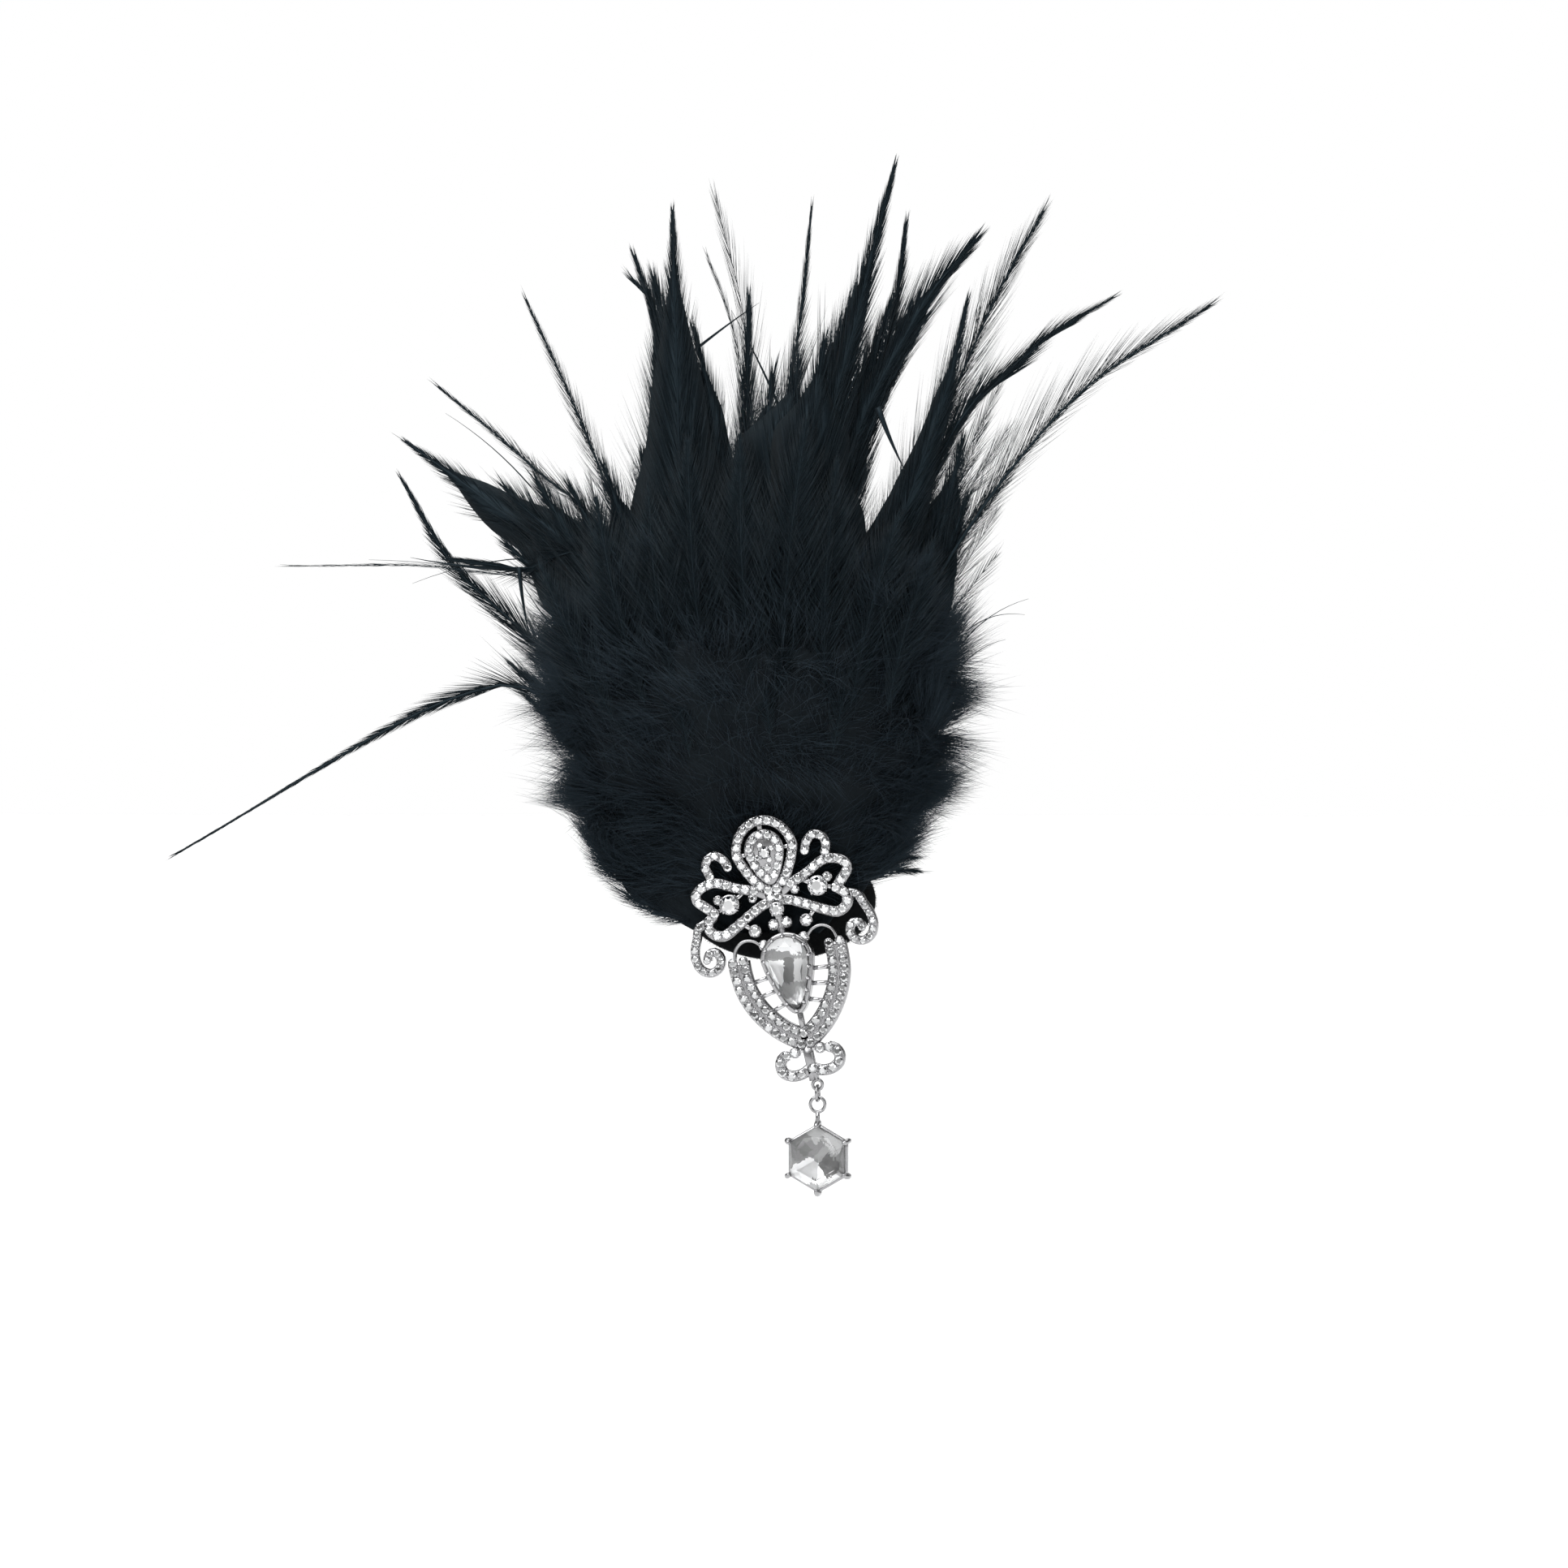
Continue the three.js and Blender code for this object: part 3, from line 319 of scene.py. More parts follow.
# Coats of down: name, barbs, heights from and to, turns from and to as shares of a round, lengths, thickness,
# depth of the roots, lift off the body, how much the barbs gather in tufts and how ruffled they are
COATS = [
    ("down_left", 12500, -5, 62, 0.42, 0.60, 8, 15, 0.07, 2.5, 0.55, 0.3, 0.26),
    ("down_right", 11500, 4, 70, -0.10, 0.08, 8, 15, 0.075, 2.5, 0.55, 0.46, 0.17),
    ("down_front", 11500, 2, 75, 0.06, 0.44, 9, 15, 0.085, 3.5, 0.36, 0.24, 0.3),
    ("down_back", 6500, 12, 72, 0.56, 0.94, 8, 14, 0.08, 2.5, 0.4, 0.24, 0.3),
]
# Tufts: size, how they crowd in height and round the body, how many kinds
TUFT_SIZE, TUFT_RISE, TUFT_ROUND, TUFT_KINDS = 9.0, 2.2, 150, 5003
# The barbs' flow from the foot of the plume: spread, middle, height and share; low down it turns level
FLOW_SPREAD, FLOW_MIDDLE, FLOW_HEIGHT, FLOW_SHARE = 1.15, 3, 14, 0.75
LEVEL_BELOW, LEVEL_TURN = 35, ([-8, 35], [-0.1, 0.8])
# Curl of a barb's end by its length: along with its tuft, and on its own
TUFT_CURL, OWN_CURL = 0.16, 0.12


# Materials

def shader_of(material):
    return material.node_tree.nodes["Principled BSDF"]


def principled(name, colour, roughness, **inputs):
    material = bpy.data.materials.new(name)
    material.use_nodes = True
    shader = shader_of(material)
    shader.inputs["Base Color"].default_value = (*colour, 1)
    shader.inputs["Roughness"].default_value = roughness
    for key, value in inputs.items():
        shader.inputs[key.replace("_", " ")].default_value = value
    return material


def add_node(owner, kind, inputs=None, **settings):
    """A shader node with some of its settings and inputs given."""
    node = owner.node_tree.nodes.new(kind)
    for key, value in settings.items():
        setattr(node, key, value)
    for key, value in (inputs or {}).items():
        node.inputs[key].default_value = value
    return node


def join(owner, source, target):
    owner.node_tree.links.new(source, target)


def tone_by(material, factor, dark, light):
    """The base colour runs from dark to light with the factor."""
    mix = add_node(material, "ShaderNodeMix", {"A": (*dark, 1), "B": (*light, 1)}, data_type="RGBA")
    join(material, factor, mix.inputs["Factor"])
    join(material, mix.outputs["Result"], shader_of(material).inputs["Base Color"])


def feather_material(name, dark, light, roughness):
    """Near-black barbs; each barb has its own depth of colour between two tones."""
    material = principled(
        name, dark, roughness, Specular_IOR_Level=0.2, Specular_Tint=(0.6, 0.85, 1.0, 1),
        Sheen_Weight=0.015, Sheen_Roughness=0.5)
    island = add_node(material, "ShaderNodeNewGeometry")
    tone_by(material, island.outputs["Random Per Island"], dark, light)
    return material


def metal_material(name, dark, light, scale, low, high, stretch=(1, 1, 1)):
    """Bare metal with a cloudy tone and uneven polish."""
    material = principled(name, light, low, Metallic=1.0)
    where = add_node(material, "ShaderNodeTexCoord")
    place = add_node(material, "ShaderNodeMapping", {"Scale": stretch})
    noise = add_node(material, "ShaderNodeTexNoise", {"Scale": scale, "Detail": 4})
    rough = add_node(material, "ShaderNodeMapRange", {"To Min": low, "To Max": high})
    join(material, where.outputs["Object"], place.inputs["Vector"])
    join(material, place.outputs["Vector"], noise.inputs["Vector"])
    join(material, noise.outputs["Fac"], rough.inputs["Value"])
    join(material, rough.outputs["Result"], shader_of(material).inputs["Roughness"])
    tone_by(material, noise.outputs["Fac"], dark, light)
    return material


def faceted_material(name, colour, roughness, metallic):
    """Foil-backed stone: every facet has its own painted reflection, a tone from dark to bright, kept with
    the mesh.
    """
    material = principled(name, colour, roughness, Metallic=metallic)
    tone = add_node(material, "ShaderNodeAttribute", attribute_name="tone")
    tone_by(material, tone.outputs["Fac"], (0.0, 0.0, 0.0), colour)
    return material


def felt_material(name, dark, light):
    """Black felt or matted down: fibres in fine relief."""
    material = principled(name, dark, 0.95, Specular_IOR_Level=0.15)
    where = add_node(material, "ShaderNodeTexCoord")
    noise = add_node(material, "ShaderNodeTexNoise", {"Scale": 1400, "Detail": 6})
    bump = add_node(material, "ShaderNodeBump", {"Strength": 0.5, "Distance": 0.0003})
    join(material, where.outputs["Object"], noise.inputs["Vector"])
    join(material, noise.outputs["Fac"], bump.inputs["Height"])
    join(material, bump.outputs["Normal"], shader_of(material).inputs["Normal"])
    tone_by(material, noise.outputs["Fac"], dark, light)
    return material


feather_look = feather_material("feather", (0.003, 0.0058, 0.0082), (0.0066, 0.0108, 0.014), 0.46)
down_look = feather_material("down", (0.0095, 0.0152, 0.021), (0.0175, 0.025, 0.0325), 0.7)
felt_look = felt_material("felt", (0.002, 0.0026, 0.003), (0.008, 0.009, 0.01))
matted_look = felt_material("matted_down", (0.0032, 0.0056, 0.0076), (0.008, 0.0118, 0.0148))
silver_look = metal_material("silver", (0.24, 0.24, 0.245), (0.45, 0.45, 0.46), 900, 0.16, 0.34)
bright_look = metal_material("claw_silver", (0.42, 0.42, 0.43), (0.66, 0.66, 0.67), 700, 0.12, 0.26)
steel_look = metal_material("steel", (0.2, 0.205, 0.21), (0.36, 0.365, 0.375), 260, 0.26, 0.44, (14, 14, 0.6))
# The chaton and foil looks darken each facet by its painted reflection tone, kept with the mesh
chaton_look = faceted_material("chaton", (0.97, 0.98, 0.99), 0.06, 1.0)
foil_look = faceted_material("foil", (1.0, 1.0, 1.0), 0.35, 0.85)
crystal_look = principled("crystal", (0.98, 0.985, 0.99), 0.0, Transmission_Weight=1.0, IOR=1.52)


# Shapes: each function returns points and triangles of closed shells

def normalised(v):
    return v / np.maximum(np.linalg.norm(v, axis=-1, keepdims=True), 1e-12)


def turns(count):
    """Even angles round a circle."""
    return 2 * math.pi * np.arange(count) / count


def circle(middle, radius, count, plane=(0, 2)):
    """Points round a circle; plane is its two axes, the first one where the angle is 0."""
    points = np.tile(np.array(middle, float), (count, 1))
    points[:, plane[0]] += radius * np.cos(turns(count))
    points[:, plane[1]] += radius * np.sin(turns(count))
    return points


def loft(rings, closed=False):
    """A closed surface through rings of points, shape (rings, count, 3)."""
    steps, count = rings.shape[:2]
    ring = np.arange(count)
    after = (ring + 1) % count
    faces = []
    for i in range(steps if closed else steps - 1):
        a, b = i * count, ((i + 1) % steps) * count
        faces.append(np.stack([a + ring, a + after, b + after], 1))
        faces.append(np.stack([a + ring, b + after, b + ring], 1))
    if not closed:
        fan = np.arange(1, count - 1)
        end = (steps - 1) * count
        faces.append(np.stack([np.zeros_like(fan), fan + 1, fan], 1))
        faces.append(np.stack([np.full_like(fan, end), end + fan, end + fan + 1], 1))
    return rings.reshape(-1, 3), np.concatenate(faces)


def tube(points, radii, sides, closed=False, reference=(0.0, 1.0, 0.0)):
    """A round bar along a line of points; the line never runs along the reference direction."""
    points = np.asarray(points, float)
    radii = np.broadcast_to(np.asarray(radii, float), len(points))
    if closed:
        along = np.roll(points, -1, 0) - np.roll(points, 1, 0)
    else:
        along = np.gradient(points, axis=0)
    along = normalised(along)
    first = normalised(np.cross(along, np.asarray(reference, float)))
    second = np.cross(along, first)
    angle = turns(sides)
    around = np.cos(angle)[:, None] * first[:, None] + np.sin(angle)[:, None] * second[:, None]
    return loft(points[:, None] + around * radii[:, None, None], closed)


def strands(points, radii):
    """Three-sided tapered hairs with pointed ends. points is (hairs, steps, 3) and radii (hairs, steps)."""
    hairs, steps = points.shape[:2]
    along = normalised(np.gradient(points, axis=1))
    first = normalised(np.cross(along, rng.normal(size=(hairs, 1, 3))))
    second = np.cross(along, first)
    angle = turns(3)
    around = np.cos(angle)[:, None] * first[:, :, None] + np.sin(angle)[:, None] * second[:, :, None]
    rings = points[:, :-1, None] + around[:, :-1] * radii[:, :-1, None, None]
    size = 3 * (steps - 1) + 1
    verts = np.concatenate([rings.reshape(hairs, -1, 3), points[:, -1:]], axis=1)
    pattern = [(0, 2, 1)]
    for k in range(steps - 2):
        for j in range(3):
            a, b = 3 * k + j, 3 * k + (j + 1) % 3
            pattern += [(a, b, b + 3), (a, b + 3, a + 3)]
    last = 3 * (steps - 2)
    pattern += [(last + j, last + (j + 1) % 3, size - 1) for j in range(3)]
    tris = np.array(pattern)[None] + (np.arange(hairs) * size)[:, None, None]
    return verts.reshape(-1, 3), tris.reshape(-1, 3)


def new_object(name, data):
    thing = bpy.data.objects.new(name, data)
    bpy.context.scene.collection.objects.link(thing)
    return thing


class Pile:
    """Closed shells gathered into one mesh."""

    def __init__(self):
        self.verts, self.tris, self.tones, self.count = [], [], [], 0

    def add(self, shell, tones=1.0):
        verts, tris = np.asarray(shell[0], float), np.asarray(shell[1])
        a, b, c = verts[tris[:, 0]], verts[tris[:, 1]], verts[tris[:, 2]]
        if np.einsum("ij,ij->", a, np.cross(b, c)) < 0:
            tris = tris[:, ::-1]
        self.verts.append(verts)
        self.tris.append(tris + self.count)
        self.tones.append(np.broadcast_to(np.asarray(tones, np.float32), len(tris)))
        self.count += len(verts)
        return self

    def build(self, name, body, slot, material, smooth=True, nodes=()):
        verts = np.concatenate(self.verts).astype(np.float32) * np.float32(MM)
        tris = np.concatenate(self.tris).astype(np.int32)
        mesh = bpy.data.meshes.new(name)
        mesh.vertices.add(len(verts))
        mesh.vertices.foreach_set("co", verts.ravel())
        mesh.loops.add(tris.size)
        mesh.loops.foreach_set("vertex_index", tris.ravel())
        mesh.polygons.add(len(tris))
        mesh.polygons.foreach_set("loop_start", np.arange(0, tris.size, 3, dtype=np.int32))
        mesh.polygons.foreach_set("use_smooth", np.full(len(tris), smooth))
        mesh.update(calc_edges=True)
        mesh.materials.append(material)
        if not smooth:
            tone = mesh.attributes.new("tone", "FLOAT", "FACE")
            tone.data.foreach_set("value", np.concatenate(self.tones))
        piece = new_object(name, mesh)
        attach(piece, body)
        if nodes:
            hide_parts(*nodes)


def smooth_line(pairs, closed=False, per=16):
    """A dense smooth line through a few points."""
    pts = np.asarray(pairs, float)
    if closed:
        p, spans = np.concatenate([pts[-1:], pts, pts[:2]]), len(pts)
    else:
        p, spans = np.concatenate([[2 * pts[0] - pts[1]], pts, [2 * pts[-1] - pts[-2]]]), len(pts) - 1
    t = np.linspace(0, 1, per, endpoint=False)[:, None]
    out = []
    for i in range(spans):
        a, b, c, d = p[i:i + 4]
        out.append((2 * t**3 - 3 * t**2 + 1) * b + (t**3 - 2 * t**2 + t) * (c - a) / 2
                   + (3 * t**2 - 2 * t**3) * c + (t**3 - t**2) * (d - b) / 2)
    line = np.concatenate(out)
    return line if closed else np.concatenate([line, pts[-1:]])


def reach(line):
    return np.concatenate([[0], np.cumsum(np.linalg.norm(np.diff(line, axis=0), axis=1))])


def spaced(line, step, closed=False):
    """Points at even steps along a line."""
    if closed:
        line = np.concatenate([line, line[:1]])
    far = reach(line)
    count = max(1, round(far[-1] / step))
    where = np.linspace(0, far[-1], count + 1)
    where = where[:-1] if closed else where
    return np.stack([np.interp(where, far, line[:, k]) for k in range(line.shape[1])], 1)


def sideways(line, closed=False):
    along = np.roll(line, -1, 0) - np.roll(line, 1, 0) if closed else np.gradient(line, axis=0)
    along = normalised(along)
    return np.stack([-along[:, 1], along[:, 0]], 1)


def mirrored(pairs):
    return [(-across, up) for across, up in pairs]


def egg_rim(shape):
    """The outline of an egg, as a function of the angle."""
    half_width, rise, fall, pinch, level = shape

    def rim(angle):
        s = np.sin(angle)
        across = half_width * np.cos(angle) * np.where(s < 0, 1 + pinch * s, 1)
        return np.stack([across, level + np.where(s > 0, rise, fall) * s], 1)
    return rim


def egg_line(shape):
    """A dense smooth line round an egg."""
    return smooth_line(egg_rim(shape)(turns(24)), True)


def set_on_brooch(shell):
    """A shell in the brooch's (across, depth, up), placed in the part's frame."""
    across, depth, up = np.transpose(shell[0])
    height = up - BROOCH_LEVEL
    x = across * math.cos(LEAN) - height * math.sin(LEAN)
    z = across * math.sin(LEAN) + height * math.cos(LEAN)
    return np.stack([x, BROOCH_BACK + depth, z], 1), shell[1]


def painted_facet_reflections(facet, low, high):
    """A painted reflection tone for each facet, the same for all the triangles of one facet."""
    return rng.uniform(low, high, facet.max() + 1)[facet]


# Section of a band as shares of its width and thickness
BAND = np.array([
    (-0.5, 0), (0.5, 0), (0.5, -0.6), (0.45, -0.88), (0.36, -1), (-0.36, -1), (-0.45, -0.88), (-0.5, -0.6)])


def band(line, width, thick=METAL_THICK, closed=False):
    """A flat metal band with rounded front edges along a line in the brooch's plane."""
    across = line[:, None] + sideways(line, closed)[:, None] * (BAND[None, :, :1] * width)
    depth = np.broadcast_to(BAND[:, 1] * thick, across.shape[:2])
    return loft(np.stack([across[..., 0], depth, across[..., 1]], -1), closed)


def drawn_in(outline, middle, share, depth):
    """An outline drawn in to a share of its size, at a depth."""
    return np.insert(middle + (outline - middle) * share, 1, depth, axis=1)


def plate(outline, rows):
    """Outlines drawn in at several depths; each row is a depth and a share."""
    middle = outline.mean(0)
    return loft(np.stack([drawn_in(outline, middle, share, depth) for depth, share in rows]))


def claw(across, up, foot, tip, radius, lean):
    """A small rounded claw from depth foot to depth tip; lean is how far its tip moves."""
    share = np.array([0, 0.5, 0.8, 0.95, 1.0])
    size = radius * np.array([1.1, 1, 0.85, 0.5, 0.08])
    line = np.stack([across + lean[0] * share**2, foot + (tip - foot) * share, up + lean[1] * share**2], 1)
    return tube(line, size, 7, reference=(1.0, 0.0, 0.0))


def cut_stone(rim, folds, girdle, table, crown_share, table_share, culet, culet_share):
    """A brilliant-cut stone. rim(angle) is the outline as (across, up); depths run from culet to table."""
    middle = rim(turns(48)).mean(0)

    def ring(angles, share, depth):
        return drawn_in(rim(angles), middle, share, depth)

    step = 2 * math.pi / folds
    k = np.arange(folds)
    n = 2 * folds
    top = ring((k + 0.5) * step, table_share, table)
    mid = ring(k * step, crown_share, girdle + (table - girdle) * CROWN_BREAK)
    edge = ring(np.arange(n) * step / 2, 1.0, girdle)
    under = ring(np.arange(n) * step / 2, 1.0, girdle + GIRDLE)
    lower = ring(k * step, BACK_SHARE, girdle + (culet - girdle) * BACK_BREAK)
    point = ring(k * step, culet_share, culet)
    verts = np.concatenate([top, mid, edge, under, lower, point])
    t0, m0, e0, u0, l0, p0 = 0, folds, 2 * folds, 4 * folds, 6 * folds, 7 * folds
    tris = [(t0, t0 + i, t0 + i + 1) for i in range(1, folds - 1)]
    tris += [(p0, p0 + i + 1, p0 + i) for i in range(1, folds - 1)]
    facet = [0] * (folds - 2) + [1] * (folds - 2)
    for i in range(folds):
        j, h = (i + 1) % folds, (i - 1) % folds
        here, before, nxt = 2 * i, (2 * i - 1) % n, 2 * i + 1
        tris += [(t0 + h, m0 + i, t0 + i), (t0 + i, m0 + i, e0 + nxt), (t0 + i, e0 + nxt, m0 + j)]
        tris += [(m0 + i, e0 + here, e0 + nxt), (m0 + i, e0 + before, e0 + here)]
        tris += [(u0 + here, l0 + i, u0 + nxt), (u0 + nxt, l0 + i, l0 + j), (u0 + before, l0 + i, u0 + here)]
        tris += [(l0 + i, p0 + i, p0 + j), (l0 + i, p0 + j, l0 + j)]
        facet += [2 + 8 * i + k for k in (0, 1, 1, 2, 3, 4, 5, 6, 7, 7)]
    for a in range(n):
        b = (a + 1) % n
        tris += [(e0 + a, u0 + a, u0 + b), (e0 + a, u0 + b, e0 + b)]
        facet += [1, 1]
    return verts, np.array(tris), np.array(facet)


def foil_bowl(rim, girdle, culet):
    """The silvered back of a large stone: a thin shallow bowl."""
    face, back = 0.05 + 0.1 * np.arange(10), np.array([1.0, 0.8, 0.5, 0.1])
    depth = girdle + (culet - girdle) * np.concatenate([0.8 * (1 - face), 1 - back])
    return plate(rim(turns(48)), zip(depth, np.concatenate([face, back])))


def round_rim(across, up, radius, turn):
    def rim(angle):
        return np.stack([across + radius * np.cos(angle + turn), up + radius * np.sin(angle + turn)], 1)
    return rim


def tilted(shell, pivot, lean):
    """A shell leaned a little about its pivot, so that neighbouring stones catch different light."""
    verts = np.array(shell[0], float) - pivot
    verts[:, 1] += verts[:, 0] * lean[0] + verts[:, 2] * lean[1]
    return verts + pivot, shell[1]


# The brooch: metal bands and cups with claws, and rows of small cut stones

metal, claws, chips, taken = Pile(), Pile(), Pile(), []


def cast(shell):
    """Adds a shell of the brooch's table to its metal."""
    metal.add(set_on_brooch(shell))


def add_cup(across, up, radius, front, rows, sides):
    """A round cup for a stone, or a plain plate."""
    places = [(front * share + depth, radius + wide) for share, depth, wide in rows]
    cast(loft(np.stack([circle((across, depth, up), size, sides) for depth, size in places])))


def add_claw(place, inward, front, sizes):
    """A claw at a place, (across, up), that leans inward over its stone."""
    foot, tip, radius, lean = sizes
    claws.add(set_on_brooch(claw(*place, front + foot, front + tip, radius, inward * lean)))


def four_claws(across, up, off, front, sizes, angles):
    for angle in angles:
        out = np.array([math.cos(angle), math.sin(angle)])
        add_claw(np.array([across, up]) + out * off, -out, front, sizes)


def set_stone(across, up, radius, front, space=STONE_SPACE, shine=CROWN_SHINE):
    """A small stone in its cup, unless another stone already takes the place. Tells whether it was set."""
    here = np.array([across, up])
    if any(np.hypot(*(here - other)) < space for other in taken):
        return False
    taken.append(here)
    add_cup(across, up, radius, front, ROW_CUP, 12)
    rim = round_rim(across, up, radius, rng.uniform(0, ROW_TURN))
    seat = front - ROW_SEAT
    stone = cut_stone(
        rim, STONE_FOLDS, seat, seat - radius * ROW_RISE, CROWN_SHARE, TABLE_SHARE,
        seat + radius * ROW_FALL, ROW_CULET)
    leaned = tilted(stone, (across, seat, up), rng.normal(0, ROW_TILT, 2))
    # Each facet of the stone gets a painted reflection, a tone from dark to bright
    chips.add(set_on_brooch(leaned), painted_facet_reflections(stone[2], shine - TONE_SPREAD, shine))
    return True


def set_row(line, radius, front, closed=False, pitch=STONE_PITCH, shine=CROWN_SHINE):
    """Stones at even steps along a line, with a pair of small claws between neighbours."""
    places = spaced(line, pitch, closed)
    square = sideways(places, closed)
    shown = [set_stone(*place, radius, front, shine=shine) for place in places]
    for i in range(len(places) if closed else len(places) - 1):
        j = (i + 1) % len(places)
        if not (shown[i] and shown[j]):
            continue
        for out in (-square[i], square[i]):
            add_claw((places[i] + places[j]) / 2 + out * radius * ROW_CLAW_SHARE, -out, front, ROW_CLAW)


halo = egg_line(HALO)
cast(band(spaced(halo, BAND_STEP, True), STRIP_WIDTH, closed=True))
set_row(halo, STONE_RADIUS, -METAL_THICK, True)
cluster_rows = [(0, 1), (CLUSTER_FRONT + CLUSTER_EDGE, 1), (CLUSTER_FRONT, CLUSTER_EASE)]
cast(plate(egg_rim(CLUSTER)(turns(40)), cluster_rows))
set_row(egg_line(CLUSTER_ROW), STONE_RADIUS * CLUSTER_SLIM, CLUSTER_FRONT, True)
ring_count, ring_radius, ring_stone = CLUSTER_RING
for angle in (np.arange(ring_count) + 0.25) * 2 * math.pi / ring_count:
    place = ring_radius * math.cos(angle), CLUSTER_MIDDLE + ring_radius * math.sin(angle)
    set_stone(*place, ring_stone, CLUSTER_FRONT, CLUSTER_SPACE)
set_stone(*CLUSTER_TIP, CLUSTER_FRONT, CLUSTER_SPACE)

cast(band(spaced(egg_line(COLLAR), BAND_STEP, True), COLLAR_WIDTH, COLLAR_THICK, True))
for place in spaced(egg_line(CLAW_LINE), PEAR_CLAW_STEP, True):
    add_claw(place, normalised(np.array([0, PEAR_MIDDLE]) - place), 0, PEAR_CLAW)

shield = spaced(smooth_line(SHIELD + mirrored(SHIELD[:-1])[::-1]), BAND_STEP)
cast(band(shield, SHIELD_WIDTH))
for row in (SHIELD_ROW, -SHIELD_ROW):
    set_row(shield + sideways(shield) * row, STONE_RADIUS * SHIELD_SLIM, -METAL_THICK, shine=SHIELD_SHINE)

for half in (list, mirrored):
    for through, slim, shine in SCROLLS:
        line = smooth_line(half(through))
        cast(band(spaced(line, FINE_STEP), STRIP_WIDTH * slim))
        pitch = STONE_PITCH * (PITCH_FIXED + PITCH_SLIM * slim)
        set_row(line, STONE_RADIUS * slim, -METAL_THICK, pitch=pitch, shine=shine)
    cast(band(spaced(smooth_line(half(LOBE)), FINE_STEP), WIRE_WIDTH))
    for ends in BARS:
        claws.add(set_on_brooch(band(np.array(half(ends), float), BAR_WIDTH, BAR_THICK)))
    for across, up, radius in SINGLES:
        [(across, up)] = half([(across, up)])
        add_cup(across, up, radius, -METAL_THICK, SINGLE_CUP, 16)
        set_stone(across, up, radius, -METAL_THICK)
        four_claws(across, up, radius + SINGLE_CLAW_OFF, -METAL_THICK, SINGLE_CLAW, SINGLE_CLAW_TURNS)
add_cup(0, *TIP_PLATE, -METAL_THICK, PLATE_CUP, 24)
for low, high, width in SPINE:
    cast(band(np.array([(0, low), (0, high)], float), width))
for name, across, up, radius, front in ROUND_STONES:
    add_cup(across, up, radius, front, ROUND_CUP, 24)
    four_claws(across, up, radius + ROUND_CLAW_OFF, front, ROUND_CLAW, ROUND_CLAW_TURNS)
cast(tube(circle((EYE_ACROSS, -METAL_THICK / 2, EYE_UP), EYE_RADIUS, 24), EYE_WIRE, 8, True))
metal.build("brooch_metal", "ornament", "silver", silver_look, nodes=("brooch_frame",))
claws.build("brooch_claws", "ornament", "silver", bright_look)
chips.build("brooch_stones", "ornament", "crystal", chaton_look, smooth=False)

for name, across, up, radius, front in ROUND_STONES:
    seat = front - ROUND_SEAT
    rim = round_rim(across, up, radius, ROUND_TURN)
    cut = cut_stone(
        rim, STONE_FOLDS, seat, seat - radius * ROUND_RISE, CROWN_SHARE, TABLE_SHARE,
        front - ROUND_BACK, ROUND_CULET)
    # Each facet of the stone gets a painted reflection, a tone from dark to bright
    stone = Pile().add(set_on_brooch(cut), painted_facet_reflections(cut[2], *ROUND_TONES))
    stone.build(name + "_cut", "ornament", "crystal", chaton_look, smooth=False, nodes=(name,))


def painted_foil_reflections(shell, chart, ground, kites=False):
    """Painted reflections on a foil's triangles, as tones. A row of the chart is a box in x and z, or the
    kite in it, with a tone.
    """
    middle = np.asarray(shell[0])[np.asarray(shell[1])].mean(1)
    tones = np.full(len(middle), ground)
    for left, low, right, high, tone in chart:
        aside = np.abs(2 * middle[:, 0] - left - right) / (right - left)
        above = np.abs(2 * middle[:, 2] - low - high) / (high - low)
        tones[(aside + above if kites else np.maximum(aside, above)) < 1] = tone
    return tones


stone = Pile().add(set_on_brooch(cut_stone(egg_rim(PEAR), *PEAR_CUT)))
stone.build("pear_stone_cut", "ornament", "crystal", crystal_look, smooth=False, nodes=("pear_stone",))
bowl = set_on_brooch(foil_bowl(egg_rim(PEAR), *PEAR_FOIL))
# The foil carries painted reflections: light and dark patches from the chart
foil = Pile().add(bowl, painted_foil_reflections(bowl, PEAR_REFLECTION_CHART, PEAR_GROUND))
foil.build("pear_foil", "ornament", "crystal", foil_look, smooth=False)


# The jump ring and the drop

eye_below = BROOCH_LEVEL - EYE_UP
HANG_X = EYE_ACROSS * math.cos(LEAN) + eye_below * math.sin(LEAN)
HANG_Y = BROOCH_BACK - METAL_THICK / 2
EYE_Z = EYE_ACROSS * math.sin(LEAN) - eye_below * math.cos(LEAN) - EYE_RADIUS
RING_Z = EYE_Z + EYE_WIRE + RING_WIRE + LINK_PLAY - RING_RADIUS
LOOP_Z = RING_Z - RING_RADIUS + RING_WIRE + LOOP_WIRE + LINK_PLAY - LOOP_RADIUS

ring_line = circle((HANG_X, HANG_Y, RING_Z), RING_RADIUS, 40, (1, 2))
ring = Pile().add(tube(ring_line, RING_WIRE, 10, True, (1.0, 0.0, 0.0)))
ring.build("jump_ring_wire", "link", "silver", silver_look, nodes=("jump_ring",))


def hexagon(per):
    """Points round a hexagon of reach 1 with a corner up, per of them on each side."""
    corner = np.radians(90 + 60 * np.arange(6))
    corners = np.stack([np.cos(corner), np.sin(corner)], 1)
    share = np.arange(per)[None, :, None] / per
    return (corners[:, None] * (1 - share) + np.roll(corners, -1, 0)[:, None] * share).reshape(-1, 2)


def hexagon_rim(angle):
    """The drop stone's outline, a hexagon with a corner up and eased corners."""
    half_side = math.pi / 6
    off = (angle - math.pi / 2 + half_side) % (2 * half_side) - half_side
    radius = DROP_CORNER * np.minimum(math.cos(half_side) / np.cos(half_side - np.abs(off)), CORNER_EASE)
    return np.stack([radius * np.cos(angle), radius * np.sin(angle)], 1)


def hung(shell):
    """A shell measured from the drop's middle, placed where the drop hangs."""
    return np.asarray(shell[0], float) + (HANG_X, HANG_Y, DROP_HEIGHT), shell[1]


